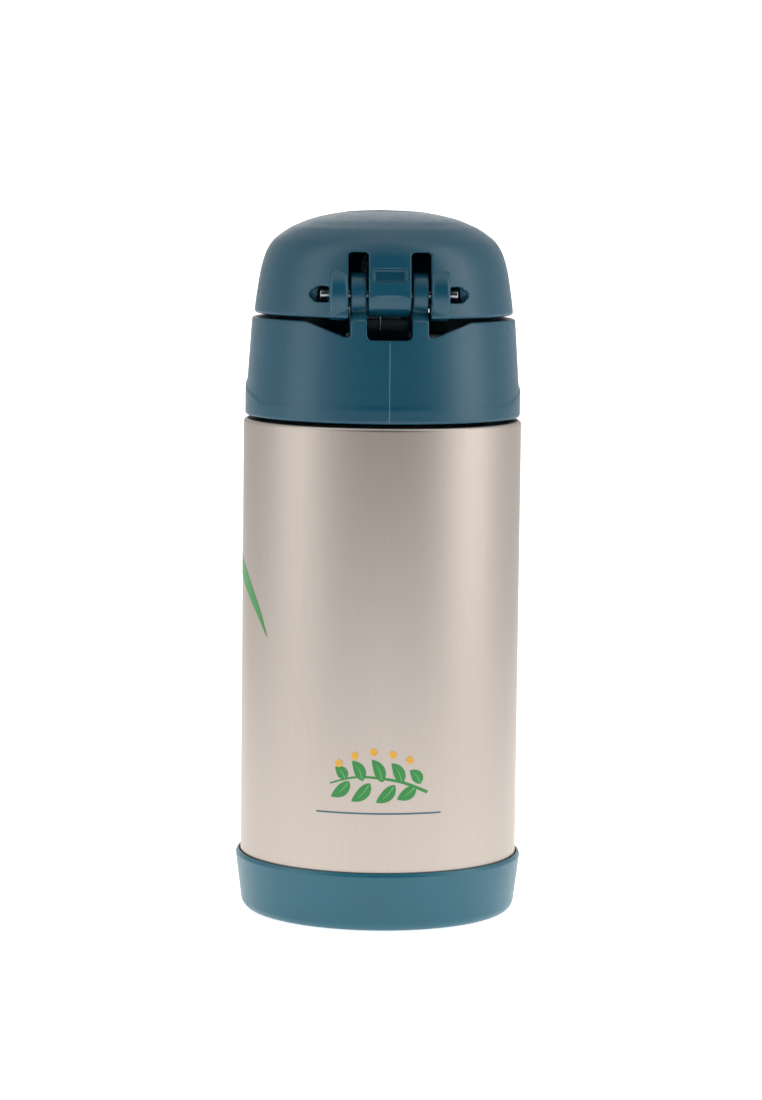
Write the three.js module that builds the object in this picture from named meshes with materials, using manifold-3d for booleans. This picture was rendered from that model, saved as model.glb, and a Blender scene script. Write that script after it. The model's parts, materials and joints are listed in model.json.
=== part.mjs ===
// A child's vacuum-insulated drinking bottle with a screw-on lid. The lid holds a folding silicone spout, a
// straw, a hinged cover that clips shut at the front, and the push button that lets the cover go.
//
// Frame: millimetres, +Z up, origin at the centre of the underside. -Y is the front, where the button is, and
// +Y is the back, where the cover's hinge is.

import * as THREE from "three";
import { mergeVertices } from "three/addons/utils/BufferGeometryUtils.js";
import Module from "manifold-3d";

const wasm = await Module();
wasm.setup();

// ---------------------------------------------------------------- driving dimensions

const ROUND = 48; // segments round the large shells
const ROUND_SMALL = 24; // segments round the small turned pieces
const ROUND_PIN = 16; // segments round pins and their holes
const ROUND_KNUCKLE = 32; // segments round the hinge's ears and knuckles
const FAR = 60; // reaches past the object, for cutting tools

// Vacuum flask
const BODY_R = 34.75;
const SHEET = 0.6; // thickness of the steel sheet
const SHOULDER_Z = 124;
const SHOULDER_FILLET = 1;
const FOOT_STEP_Z = 12; // below this the shell steps in to take the boot
const FOOT_R = 33.2;
const SHELL_BOTTOM_Z = 2.6;
const NECK_R = 25;
const NECK_TOP_Z = 139.4;
const LINER_R = 31;
const LINER_FLOOR_Z = 8;
const MOUTH_R = 23.4;
const LIP_GAP = 0.3; // between the liner's turned lip and the shell's neck

// Screw thread between the neck and the lid
const PITCH = 4;
const THREAD_DEPTH = 0.75;
const THREAD_BASE = 1.6;
const THREAD_CREST = 0.8;
const NECK_THREAD = { from: 130.5, turns: 1.25 };
const LID_THREAD = { from: 128.5, turns: 1 };
const THREAD_GAP = 0.3; // radial gap between the two crests, so that the lid can also be lifted straight off

// Boot: the plastic cup on the foot of the flask
const BOOT_TOP_Z = 14.9;
const BOOT_TOP_R = 35.95;
const BOOT_BOTTOM_R = 34.4;
const BOOT_WALL = 0.9;

// Collar: the body of the lid
const COLLAR_BOTTOM_Z = 124.8;
const COLLAR_TOP_Z = 149.3;
const BAND_R = 34.4; // the raised band round its foot
const COLLAR_TOP_R = 32.85;
const COLLAR_DRAFT = 0.068; // how much the radius grows for each millimetre down
const BAND_BACK_Z = 128.9;
const BAND_FRONT_Z = 143;
const RIM_R = 30.9; // inside of the rim
const DECK_TOP_Z = 144;
const DECK_BOTTOM_Z = 142;
const THREAD_WALL_R = NECK_R + 2 * THREAD_DEPTH + THREAD_GAP;
const THREAD_WALL_OUT_R = 28;
const SPOUT_HOLE_R = 7;
const VENT_HOLE_R = 1.6;
const VENT_Y = 15;
// Low walls on the deck, behind the hinge's window and behind the button
const HINGE_GUARD = { half: 5.4, y0: 18.65, y1: 19.35, top: 149.8 };
const BUTTON_GUARD = { half: 10.5, y0: -26.9, y1: -25.7, top: 150.3 };

// Cover: the hinged dome
const COVER_BOTTOM_Z = 150.2;
const COVER_TOP_Z = 176.1;
const COVER_R = 32.3;
const COVER_WALL = 1.8;
// The oval dish in the top is narrower from front to back
const DISH = { r: 10, floorR: 9, width: 0.7, floor: 175.2 };
const NOTCH = { half: 4, bottom: 159.2, top: 162.3, depth: 1 }; // in the back, above the middle knuckle
const THUMB_LIP = { half: 9, r: 34.3, edge: 2.2, rise: 7 };
const RIB = { from: 2.6, to: 3.8 }; // the two ribs that press the spout down
const RIB_OUTLINE = [[-22.5, 167.9], [-12, 162.9], [-12, 173.4], [-22.5, 170]];
const CATCH_POCKET = { y0: -32, y1: -28, gap: 0.6, above: 0.8 };

// Hinge at the back
const HINGE_Y = 25;
const HINGE_Z = 155.9;
const EAR_R = 5.4;
// How far the stalk under an ear reaches before, behind and below the hinge line
const EAR_STALK = { front: 4.6, back: 3.6, neck: 3, head: 2, waist: 4 };
const KNUCKLE_R = 6.4; // the cover's own knuckles stand a little proud of the ears
const CENTRE_HALF = 5.15; // half width of the cover's middle knuckle
const EAR_IN = 5.6; // the collar's ears run from here
const EAR_OUT = 9.5; // to here
const CAP_IN = 10.05; // the cover's outer knuckles run from here
const CAP_OUT = 14.65; // to here
const SLOT_TOP_Z = 166.2;
const HINGE_PIN_R = 1.25;
const HINGE_PIN_HALF = 16.8;
const PIN_CLEARANCE = 0.15;
const SPRING_R = 2.1; // the torsion spring round the pin
const SPRING_HALF = 1.8;
const SPRING_TURNS = 3;
const SPRING_WIRE_R = 0.32;
const PIN_POCKET = { wide: 17.6, wideHalf: 2, out: 19.5, outHalf: 1.1 }; // where the pin's end shows
const SCALLOP_OUT = 20.2; // the dips in the collar's rim end here
const SCALLOP_Z = 145.7; // and are this low beside the ears
const WINDOW_Z = 145; // floor of the gap between the ears
const WINDOW_CORNER = 1.4;

// Push button at the front, which rocks about a pin at its foot
const BUTTON_PIVOT_Y = -29.7;
const BUTTON_PIVOT_Z = 129.8;
const BUTTON_PIN_R = 0.8;
const BUTTON_HALF = 7.8;
const BUTTON_BOTTOM_Z = 132.1;
const BUTTON_TOP_Z = 148.3;
const BUTTON_GAP = 0.6;
const BUTTON_PAD = { inner: 31.6, foot: 34.3, face: 34.9, head: 33.4 }; // radii: it is a slice of a ring
const BUTTON_BOSS = { r: 1.4, half: 6.4, front: -31 };
const BUTTON_PIN_HALF = 9.4;
const BUTTON_CHEEK = { from: 7, to: 9.8, y0: -31.3, y1: -26.5, half: 2 }; // they hold the pin at each side
const HOOK = { inner: -28.9, outer: -32.2, foot: -30.4, slot: -30.1, nose: -31.4, chamfer: 1, noseHeight: 1.6 };
const HOOK_HALF = 4;
const HOOK_TOP_Z = 153.5;
const BUTTON_SPRING_Z = 139;

// Spout: one silicone moulding that folds at its foot
const SPOUT_PIVOT_Z = 149.8;
const SPOUT_FOLD = THREE.MathUtils.degToRad(62); // how far forward it leans under the closed cover
const SPOUT_LENGTH = 27;
const SPOUT_R = 5;
const SPOUT_BORE_R = 2.2;
const STRAW_R = 3;
const STRAW_BORE_R = 2.3;
const STRAW_BOTTOM_Z = 11;
const STRAW_TOP_Z = 139;
const NIPPLE_BOTTOM_Z = 128;

// ---------------------------------------------------------------- materials

const steel = new THREE.MeshStandardMaterial({ color: 0xc9c0b6, roughness: 0.32, metalness: 1 });
const bluePlastic = new THREE.MeshStandardMaterial({ color: 0x2f5b74, roughness: 0.5, metalness: 0 });
const silicone = new THREE.MeshStandardMaterial({ color: 0xdfe6e6, roughness: 0.6, metalness: 0 });
const clearPlastic = new THREE.MeshStandardMaterial({ color: 0xcfdadd, roughness: 0.25, metalness: 0 });
const pinSteel = new THREE.MeshStandardMaterial({ color: 0xb8bcc0, roughness: 0.25, metalness: 1 });
const getterGrey = new THREE.MeshStandardMaterial({ color: 0x77787a, roughness: 0.7, metalness: 0.6 });

// ---------------------------------------------------------------- solids from three.js geometry

// A three.js geometry as a manifold-3d solid, once its shared vertices are merged.
function solid(geometry) {
  const plain = geometry.index ? geometry.toNonIndexed() : geometry.clone();
  plain.deleteAttribute("normal");
  plain.deleteAttribute("uv");
  const merged = mergeVertices(plain, 1e-4);
  const made = new wasm.Manifold(
    new wasm.Mesh({
      numProp: 3,
      vertProperties: merged.attributes.position.array,
      triVerts: new Uint32Array(merged.index.array),
    }),
  );
  if (made.volume() < 0) throw new Error("a profile runs the wrong way round");
  return made;
}

function geometryOf(made) {
  const mesh = made.getMesh();
  const position = new THREE.BufferAttribute(new Float32Array(mesh.vertProperties), 3);
  const geometry = new THREE.BufferGeometry().setAttribute("position", position);
  geometry.setIndex(new THREE.BufferAttribute(mesh.triVerts, 1));
  geometry.computeVertexNormals();
  return geometry;
}

function meshOf(name, made, material) {
  const mesh = new THREE.Mesh(geometryOf(made), material);
  mesh.name = name;
  return mesh;
}

// A closed outline of [radius, height] points turned about +Z. Outlines run counter-clockwise with radius
// to the right and height up.
function turned(outline, segments = ROUND) {
  const points = [...outline, outline[0]].map(([r, z]) => new THREE.Vector2(r, z));
  const lathe = new THREE.LatheGeometry(points, segments);
  return solid(lathe.rotateX(Math.PI / 2));
}

// Points of an arc, to round a corner of an outline. Angles are in degrees.
function arc(r, z, radius, start, end, steps = 3) {
  return Array.from({ length: steps + 1 }, (_, i) => {
    const angle = THREE.MathUtils.degToRad(start + ((end - start) * i) / steps);
    return [r + radius * Math.cos(angle), z + radius * Math.sin(angle)];
  });
}

function box(x0, x1, y0, y1, z0, z1) {
  const geometry = new THREE.BoxGeometry(x1 - x0, y1 - y0, z1 - z0);
  return solid(geometry.translate((x0 + x1) / 2, (y0 + y1) / 2, (z0 + z1) / 2));
}

// A cylinder lying along X, from x0 to x1, about the line through (y, z).
function crossCylinder(radius, x0, x1, y, z, segments = ROUND_PIN) {
  const geometry = new THREE.CylinderGeometry(radius, radius, x1 - x0, segments);
  return solid(geometry.rotateZ(Math.PI / 2).translate((x0 + x1) / 2, y, z));
}

// An outline of [y, z] points extruded along X, from x0 to x1.
function sideExtrusion(outline, x0, x1) {
  const shape = new THREE.Shape(outline.map(([y, z]) => new THREE.Vector2(y, z)));
  const geometry = new THREE.ExtrudeGeometry(shape, { depth: x1 - x0, bevelEnabled: false });
  const toSide = new THREE.Matrix4().makeBasis(
    new THREE.Vector3(0, 1, 0),
    new THREE.Vector3(0, 0, 1),
    new THREE.Vector3(1, 0, 0),
  );
  return solid(geometry.applyMatrix4(toSide).translate(x0, 0, 0));
}

// An outline of [x, z] points extruded along Y, from y0 to y1.
function backExtrusion(outline, y0, y1) {
  const shape = new THREE.Shape(outline.map(([x, z]) => new THREE.Vector2(x, z)));
  const geometry = new THREE.ExtrudeGeometry(shape, { depth: y1 - y0, bevelEnabled: false });
  return solid(geometry.rotateX(Math.PI / 2).translate(0, y1, 0));
}

// The same piece at both sides of the object.
function bothSides(made) {
  return made.add(made.mirror([1, 0, 0]));
}

// A ring whose outline changes with the angle round it: outlineAt(angle) gives [radius, height] points, always
// the same number, with the angle counted from the back.
function ringByAngle(outlineAt, segments = ROUND) {
  const outlines = Array.from({ length: segments }, (_, i) => outlineAt((i * 2 * Math.PI) / segments));
  const count = outlines[0].length;
  const position = [];
  outlines.forEach((outline, i) => {
    const angle = (i * 2 * Math.PI) / segments;
    outline.forEach(([r, z]) => position.push(r * Math.sin(angle), r * Math.cos(angle), z));
  });
  const index = [];
  for (let i = 0; i < segments; i++) {
    const next = (i + 1) % segments;
    for (let j = 0; j < count; j++) {
      const up = (j + 1) % count;
      index.push(i * count + j, i * count + up, next * count + j);
      index.push(next * count + j, i * count + up, next * count + up);
    }
  }
  return solid(indexedGeometry(position, index));
}

function indexedGeometry(position, index) {
  const geometry = new THREE.BufferGeometry();
  geometry.setAttribute("position", new THREE.Float32BufferAttribute(position, 3));
  geometry.setIndex(index);
  return geometry;
}

// A right-hand thread ridge: a trapezoid swept up a helix from rootR to crestR, fading out at both ends.
function threadRidge({ from, turns }, rootR, crestR) {
  const perTurn = 40;
  const steps = Math.round(turns * perTurn);
  const fadeSteps = 5;
  const position = [];
  for (let i = 0; i <= steps; i++) {
    const angle = (i * 2 * Math.PI) / perTurn;
    const z = from + (PITCH * i) / perTurn;
    const fade = Math.min(1, (Math.min(i, steps - i) + 0.4) / fadeSteps);
    const crest = rootR + (crestR - rootR) * fade;
    const section = [
      [rootR, z - THREAD_BASE / 2],
      [crest, z - THREAD_CREST / 2],
      [crest, z + THREAD_CREST / 2],
      [rootR, z + THREAD_BASE / 2],
    ];
    section.forEach(([r, h]) => position.push(r * Math.cos(angle), r * Math.sin(angle), h));
  }
  const index = [];
  for (let i = 0; i < steps; i++)
    for (let j = 0; j < 4; j++) {
      const [a, b] = [i * 4 + j, i * 4 + ((j + 1) % 4)];
      index.push(a, a + 4, b, b, a + 4, b + 4);
    }
  index.push(0, 1, 2, 0, 2, 3);
  const last = steps * 4;
  index.push(last, last + 2, last + 1, last, last + 3, last + 2);
  if (crestR < rootR)
    for (let i = 0; i < index.length; i += 3) [index[i + 1], index[i + 2]] = [index[i + 2], index[i + 1]];
  return solid(indexedGeometry(position, index));
}

// A coil spring along +Z from z = 0, with its ends closed.
class Helix extends THREE.Curve {
  constructor(radius, height, turns) {
    super();
    Object.assign(this, { radius, height, turns });
  }

  getPoint(t) {
    const angle = t * this.turns * 2 * Math.PI;
    return new THREE.Vector3(this.radius * Math.cos(angle), this.radius * Math.sin(angle), t * this.height);
  }
}

// ---------------------------------------------------------------- vacuum flask

function outerShell() {
  const inner = BODY_R - SHEET;
  const wall = turned([
    [FOOT_R - SHEET, SHELL_BOTTOM_Z],
    [FOOT_R, SHELL_BOTTOM_Z],
    [FOOT_R, FOOT_STEP_Z - 1.6],
    [BODY_R, FOOT_STEP_Z],
    ...arc(BODY_R - SHOULDER_FILLET, SHOULDER_Z - SHOULDER_FILLET, SHOULDER_FILLET, 0, 90, 4),
    [NECK_R + 1, SHOULDER_Z],
    [NECK_R, SHOULDER_Z + 1],
    [NECK_R, NECK_TOP_Z],
    [NECK_R - SHEET, NECK_TOP_Z],
    [NECK_R - SHEET, SHOULDER_Z - SHEET],
    [inner - SHOULDER_FILLET, SHOULDER_Z - SHEET],
    [inner, SHOULDER_Z - SHOULDER_FILLET - SHEET],
    [inner, FOOT_STEP_Z + 0.4],
    [FOOT_R - SHEET, FOOT_STEP_Z - 1.2],
  ]);
  return wall.add(threadRidge(NECK_THREAD, NECK_R - 0.3, NECK_R + THREAD_DEPTH));
}

// The deep-drawn inner vessel, with its lip turned out over the top of the shell's neck.
function liner() {
  const inside = LINER_R - SHEET;
  const lipZ = NECK_TOP_Z + LIP_GAP;
  return turned([
    [0, LINER_FLOOR_Z - SHEET],
    ...arc(LINER_R - 5, LINER_FLOOR_Z - SHEET + 5, 5, -90, 0, 4),
    [LINER_R, SHOULDER_Z - 5],
    [MOUTH_R + SHEET, SHOULDER_Z - SHEET - 0.5],
    [MOUTH_R + SHEET, lipZ],
    [NECK_R, lipZ],
    [NECK_R, lipZ + 0.4],
    [MOUTH_R, lipZ + 0.4],
    [MOUTH_R, SHOULDER_Z - SHEET - 1],
    [inside, SHOULDER_Z - 5.3],
    ...arc(inside - 5, LINER_FLOOR_Z + 5, 5, 0, -90, 4),
    [0, LINER_FLOOR_Z],
  ]);
}

const DIMPLE_R = 6;
const BASE_PLATE_Z = 4.4;

// The shell's welded bottom, with a dimple that holds the seal of the pumping hole.
function shellBase() {
  const rim = FOOT_R - SHEET - 0.3;
  return turned([
    [1, BASE_PLATE_Z + 1.2],
    [DIMPLE_R, BASE_PLATE_Z + 1.2],
    [DIMPLE_R + 1.2, BASE_PLATE_Z],
    [rim - 1.6, BASE_PLATE_Z],
    [rim - SHEET, BASE_PLATE_Z - 1],
    [rim - SHEET, SHELL_BOTTOM_Z],
    [rim, SHELL_BOTTOM_Z],
    [rim, BASE_PLATE_Z],
    [rim - 1, BASE_PLATE_Z + SHEET],
    [DIMPLE_R + 1.5, BASE_PLATE_Z + SHEET],
    [DIMPLE_R + 0.3, BASE_PLATE_Z + 1.2 + SHEET],
    [1, BASE_PLATE_Z + 1.2 + SHEET],
  ]);
}

// The bead of solder glass in the dimple.
function vacuumSeal() {
  const top = BASE_PLATE_Z + 1.2 - LIP_GAP;
  return turned([[0, top - 0.9], [3, top - 0.7], [3.6, top], [0, top]], ROUND_SMALL);
}

// The pellet that takes up stray gas in the vacuum, fixed under the liner.
function getter() {
  const top = LINER_FLOOR_Z - SHEET - 0.3;
  return turned([[0, top - 1], [4, top - 1], [4, top], [0, top]], ROUND_SMALL).translate([14, 0, 0]);
}

function boot() {
  const seat = BODY_R + 0.3; // inside of the top, round the full width of the flask
  const inside = FOOT_R + 0.3; // inside of the foot
  return turned([
    [0, 0.8],
    [22, 0.8],
    [23, 0],
    [BOOT_BOTTOM_R - 2, 0],
    ...arc(BOOT_BOTTOM_R - 1.6, 1.6, 1.6, -70, 0, 3),
    [BOOT_TOP_R, BOOT_TOP_Z - 1],
    [BOOT_TOP_R - 0.15, BOOT_TOP_Z - 0.8],
    [seat + 0.2, BOOT_TOP_Z],
    [seat, BOOT_TOP_Z - 0.1],
    [seat, FOOT_STEP_Z - 0.3],
    [inside, FOOT_STEP_Z - 2],
    [inside, 2 + BOOT_WALL / 3],
    [0, 2 + BOOT_WALL / 3],
  ]);
}

// ---------------------------------------------------------------- collar

// Outer radius of the collar above its band.
function collarRadius(z) {
  return COLLAR_TOP_R + (COLLAR_TOP_Z - z) * COLLAR_DRAFT;
}

// Height of the band's top edge. It is low across the back, and sweeps up both sides to the button.
function bandTop(angleFromBack) {
  const degrees = THREE.MathUtils.radToDeg(Math.min(angleFromBack, 2 * Math.PI - angleFromBack));
  const rise = THREE.MathUtils.clamp((degrees - 64) / 75, 0, 1);
  return BAND_BACK_Z + (BAND_FRONT_Z - BAND_BACK_Z) * rise;
}

function collarOutline(angle) {
  const bandZ = bandTop(angle);
  return [
    [BAND_R - 0.5, COLLAR_BOTTOM_Z],
    [BAND_R, COLLAR_BOTTOM_Z + 0.5],
    [BAND_R, bandZ - 0.3],
    [collarRadius(bandZ), bandZ],
    [collarRadius(COLLAR_TOP_Z - 0.6), COLLAR_TOP_Z - 0.6],
    [COLLAR_TOP_R - 0.6, COLLAR_TOP_Z],
    [RIM_R, COLLAR_TOP_Z],
    [RIM_R, DECK_TOP_Z],
    [SPOUT_HOLE_R, DECK_TOP_Z],
    [SPOUT_HOLE_R, DECK_BOTTOM_Z],
    [THREAD_WALL_R, DECK_BOTTOM_Z],
    [THREAD_WALL_R, COLLAR_BOTTOM_Z + 2.7],
    [THREAD_WALL_OUT_R, COLLAR_BOTTOM_Z + 2.7],
    [THREAD_WALL_OUT_R, DECK_BOTTOM_Z - 1],
    [RIM_R + 0.3, DECK_BOTTOM_Z - 1],
    [BAND_R - 1.8, COLLAR_BOTTOM_Z],
  ];
}

// One of the two ears that carry the hinge pin: a round head on a stalk that flares out to the collar.
function ear() {
  const { front, back, neck, head, waist } = EAR_STALK;
  const eye = crossCylinder(EAR_R, EAR_IN, EAR_OUT, HINGE_Y, HINGE_Z, ROUND_KNUCKLE);
  const stalk = sideExtrusion(
    [
      [HINGE_Y - front, HINGE_Z - head],
      [HINGE_Y - front, DECK_TOP_Z - 0.5],
      [COLLAR_TOP_R - 2, DECK_TOP_Z - 0.5],
      [COLLAR_TOP_R - 0.9, SCALLOP_Z],
      [HINGE_Y + back, HINGE_Z - waist],
      [HINGE_Y + neck, HINGE_Z - head],
    ],
    EAR_IN,
    EAR_OUT,
  );
  return eye.add(stalk);
}

function guardWall({ half, y0, y1, top }) {
  return box(-half, half, y0, y1, DECK_TOP_Z - 0.5, top);
}

function collar() {
  const window = backExtrusion(
    [
      [-EAR_IN, FAR * 3],
      [-EAR_IN, WINDOW_Z + WINDOW_CORNER],
      [-EAR_IN + WINDOW_CORNER, WINDOW_Z],
      [EAR_IN - WINDOW_CORNER, WINDOW_Z],
      [EAR_IN, WINDOW_Z + WINDOW_CORNER],
      [EAR_IN, FAR * 3],
    ],
    HINGE_Y - 1,
    FAR,
  );
  const scallop = backExtrusion(
    [
      [EAR_OUT, COLLAR_TOP_Z + 1],
      [EAR_OUT, SCALLOP_Z],
      [EAR_OUT + 3, SCALLOP_Z + 0.4],
      [SCALLOP_OUT, COLLAR_TOP_Z],
      [SCALLOP_OUT, COLLAR_TOP_Z + 1],
    ],
    HINGE_Y - 6,
    FAR,
  );
  const { from, to, y0, y1, half } = BUTTON_CHEEK;
  const cheek = box(from, to, y0, y1, BUTTON_PIVOT_Z - half, BUTTON_PIVOT_Z + half);
  const pinHole = crossCylinder(
    BUTTON_PIN_R + 0.1,
    -BUTTON_PIN_HALF - 0.2,
    BUTTON_PIN_HALF + 0.2,
    BUTTON_PIVOT_Y,
    BUTTON_PIVOT_Z,
  );
  const buttonOpening = box(
    -BUTTON_HALF - BUTTON_GAP,
    BUTTON_HALF + BUTTON_GAP,
    -FAR,
    -29.5,
    BUTTON_BOTTOM_Z - BUTTON_GAP,
    FAR * 3,
  );
  const hingeHole = crossCylinder(HINGE_PIN_R + PIN_CLEARANCE, -FAR, FAR, HINGE_Y, HINGE_Z);
  const ventHole = solid(
    new THREE.CylinderGeometry(VENT_HOLE_R, VENT_HOLE_R, 6, ROUND_PIN)
      .rotateX(Math.PI / 2)
      .translate(0, VENT_Y, DECK_TOP_Z - 1),
  );
  const lidThread = threadRidge(LID_THREAD, THREAD_WALL_R + 0.3, THREAD_WALL_R - THREAD_DEPTH);
  return ringByAngle(collarOutline)
    .add(lidThread)
    .subtract(window)
    .subtract(bothSides(scallop))
    .add(bothSides(ear()))
    .add(bothSides(cheek))
    .add(guardWall(HINGE_GUARD))
    .add(guardWall(BUTTON_GUARD))
    .subtract(buttonOpening)
    .subtract(pinHole)
    .subtract(hingeHole)
    .subtract(ventHole);
}

// ---------------------------------------------------------------- cover

// Outside of the dome as [radius, height], from its foot to its top.
const DOME = [
  [COVER_R - 0.4, COVER_BOTTOM_Z],
  [COVER_R, COVER_BOTTOM_Z + 0.5],
  [31.95, 153.8],
  [31.2, 158.8],
  [30.75, 161.2],
  [30.1, 163.7],
  [29.1, 166.2],
  [27.3, 168.7],
  [23.9, 171.2],
  [21.5, 172.4],
  [18.2, 173.7],
  [13.3, 174.9],
  [7, 175.8],
  [0, COVER_TOP_Z],
];

// Inside of the dome, from its top to its foot, a wall's thickness in from the outside.
const DOME_INSIDE = [
  [0, COVER_TOP_Z - COVER_WALL - 0.6],
  [13, COVER_TOP_Z - COVER_WALL - 1.4],
  [20.6, 170.8],
  [25.6, 167.8],
  [28.2, 163.2],
  [29.4, 158.6],
  [COVER_R - COVER_WALL, COVER_BOTTOM_Z],
];

function cover() {
  const shell = turned([...DOME, ...DOME_INSIDE]);
  const dish = solid(
    new THREE.CylinderGeometry(DISH.r, DISH.floorR, 3, 32)
      .scale(1, 1, DISH.width)
      .rotateX(Math.PI / 2)
      .translate(0, 0, DISH.floor + 1.5),
  );
  const middle = crossCylinder(EAR_R, -CENTRE_HALF, CENTRE_HALF, HINGE_Y, HINGE_Z, ROUND_KNUCKLE);
  const cap = crossCylinder(KNUCKLE_R, CAP_IN, CAP_OUT, HINGE_Y, HINGE_Z, ROUND_KNUCKLE);
  const slot = box(CENTRE_HALF, CAP_IN, 12, FAR, COVER_BOTTOM_Z - 1, SLOT_TOP_Z);
  // Below the pin the wall between the slots turns under, round the hinge line.
  const turnUnder = box(-CENTRE_HALF - 0.1, CENTRE_HALF + 0.1, HINGE_Y - 7, FAR, COVER_BOTTOM_Z - 9, HINGE_Z)
    .subtract(crossCylinder(KNUCKLE_R, -FAR, FAR, HINGE_Y, HINGE_Z, 40));
  const notch = sideExtrusion(
    [
      [COVER_R - 1.7 - NOTCH.depth, NOTCH.top],
      [COVER_R - 1.1 - NOTCH.depth / 3, NOTCH.bottom],
      [FAR, NOTCH.bottom],
      [FAR, NOTCH.top],
    ],
    -NOTCH.half,
    NOTCH.half,
  );
  const { wide, wideHalf, out, outHalf } = PIN_POCKET;
  const pocket = crossCylinder(wideHalf, CAP_OUT, wide, HINGE_Y + 0.4, HINGE_Z)
    .add(box(CAP_OUT, wide, HINGE_Y, FAR, HINGE_Z - wideHalf, HINGE_Z + wideHalf))
    .add(box(wide - 0.1, out, HINGE_Y, FAR, HINGE_Z - outHalf, HINGE_Z + outHalf));
  const thumbLip = turned(
    [
      [COVER_R - 1, COVER_BOTTOM_Z],
      [THUMB_LIP.r, COVER_BOTTOM_Z],
      [THUMB_LIP.r, COVER_BOTTOM_Z + THUMB_LIP.edge],
      [COVER_R - 1.1, COVER_BOTTOM_Z + THUMB_LIP.rise],
    ],
  ).intersect(box(-THUMB_LIP.half, THUMB_LIP.half, -FAR, -20, 0, FAR * 3));
  // The pocket is open below, with no ledge for the button's nose, so that the cover always swings free.
  const { gap, above } = CATCH_POCKET;
  const catchPocket = box(
    -HOOK_HALF - gap,
    HOOK_HALF + gap,
    CATCH_POCKET.y0,
    CATCH_POCKET.y1,
    COVER_BOTTOM_Z - 1,
    HOOK_TOP_Z + above,
  );
  // Two ribs under the dome press the spout down as the cover shuts.
  const rib = sideExtrusion(RIB_OUTLINE, RIB.from, RIB.to);
  const hole = crossCylinder(HINGE_PIN_R + PIN_CLEARANCE, -FAR, FAR, HINGE_Y, HINGE_Z).intersect(
    box(-HINGE_PIN_HALF - 0.4, HINGE_PIN_HALF + 0.4, -FAR, FAR, 0, FAR * 3),
  );
  const coilHalf = SPRING_HALF + 0.8;
  const coil = crossCylinder(SPRING_R + 0.9, -coilHalf, coilHalf, HINGE_Y, HINGE_Z, ROUND_SMALL);
  const upperLeg = box(-coilHalf, -SPRING_HALF + 0.8, 26.2, 28, HINGE_Z, HINGE_Z + 7);
  const lowerLeg = box(SPRING_HALF - 0.8, coilHalf, FAR / 4, HINGE_Y, HINGE_Z - 4, HINGE_Z - 1);
  const springSpace = coil.add(upperLeg).add(lowerLeg);
  return shell
    .add(middle)
    .add(thumbLip)
    .add(bothSides(rib))
    .subtract(turnUnder)
    .subtract(bothSides(slot))
    .add(bothSides(cap))
    .subtract(springSpace)
    .subtract(notch)
    .subtract(dish)
    .subtract(bothSides(pocket))
    .subtract(catchPocket)
    .subtract(hole);
}

function hingePin() {
  return crossCylinder(HINGE_PIN_R, -HINGE_PIN_HALF, HINGE_PIN_HALF, HINGE_Y, HINGE_Z);
}

// The torsion spring that throws the cover open: one leg lies along the back of the cover, the other stands on
// the collar's deck.
function hingeSpring() {
  const coilSteps = SPRING_TURNS * 12 + 3;
  const coil = Array.from({ length: coilSteps + 1 }, (_, i) => {
    const angle = (-i * Math.PI) / 6;
    const x = -SPRING_HALF + (2 * SPRING_HALF * i) / coilSteps;
    return [x, HINGE_Y + SPRING_R * Math.cos(angle), HINGE_Z + SPRING_R * Math.sin(angle)];
  });
  const upper = [7, 4, 1.5].map((rise) => [-SPRING_HALF, HINGE_Y + SPRING_R, HINGE_Z + rise]);
  const lower = [
    [SPRING_HALF, HINGE_Y - 2.5, HINGE_Z - SPRING_R],
    [SPRING_HALF, HINGE_Y - 4.4, HINGE_Z - SPRING_R - 0.8],
    [SPRING_HALF, HINGE_Y - 5, HINGE_Z - SPRING_R - 3],
    [SPRING_HALF, HINGE_Y - 5, DECK_TOP_Z + 0.35],
  ];
  const path = new THREE.CatmullRomCurve3([...upper, ...coil, ...lower].map((p) => new THREE.Vector3(...p)));
  const wire = new THREE.Shape().absarc(0, 0, SPRING_WIRE_R, 0, 2 * Math.PI);
  return solid(
    new THREE.ExtrudeGeometry(wire, { steps: 110, curveSegments: 3, bevelEnabled: false, extrudePath: path }),
  );
}

// ---------------------------------------------------------------- push button

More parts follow.
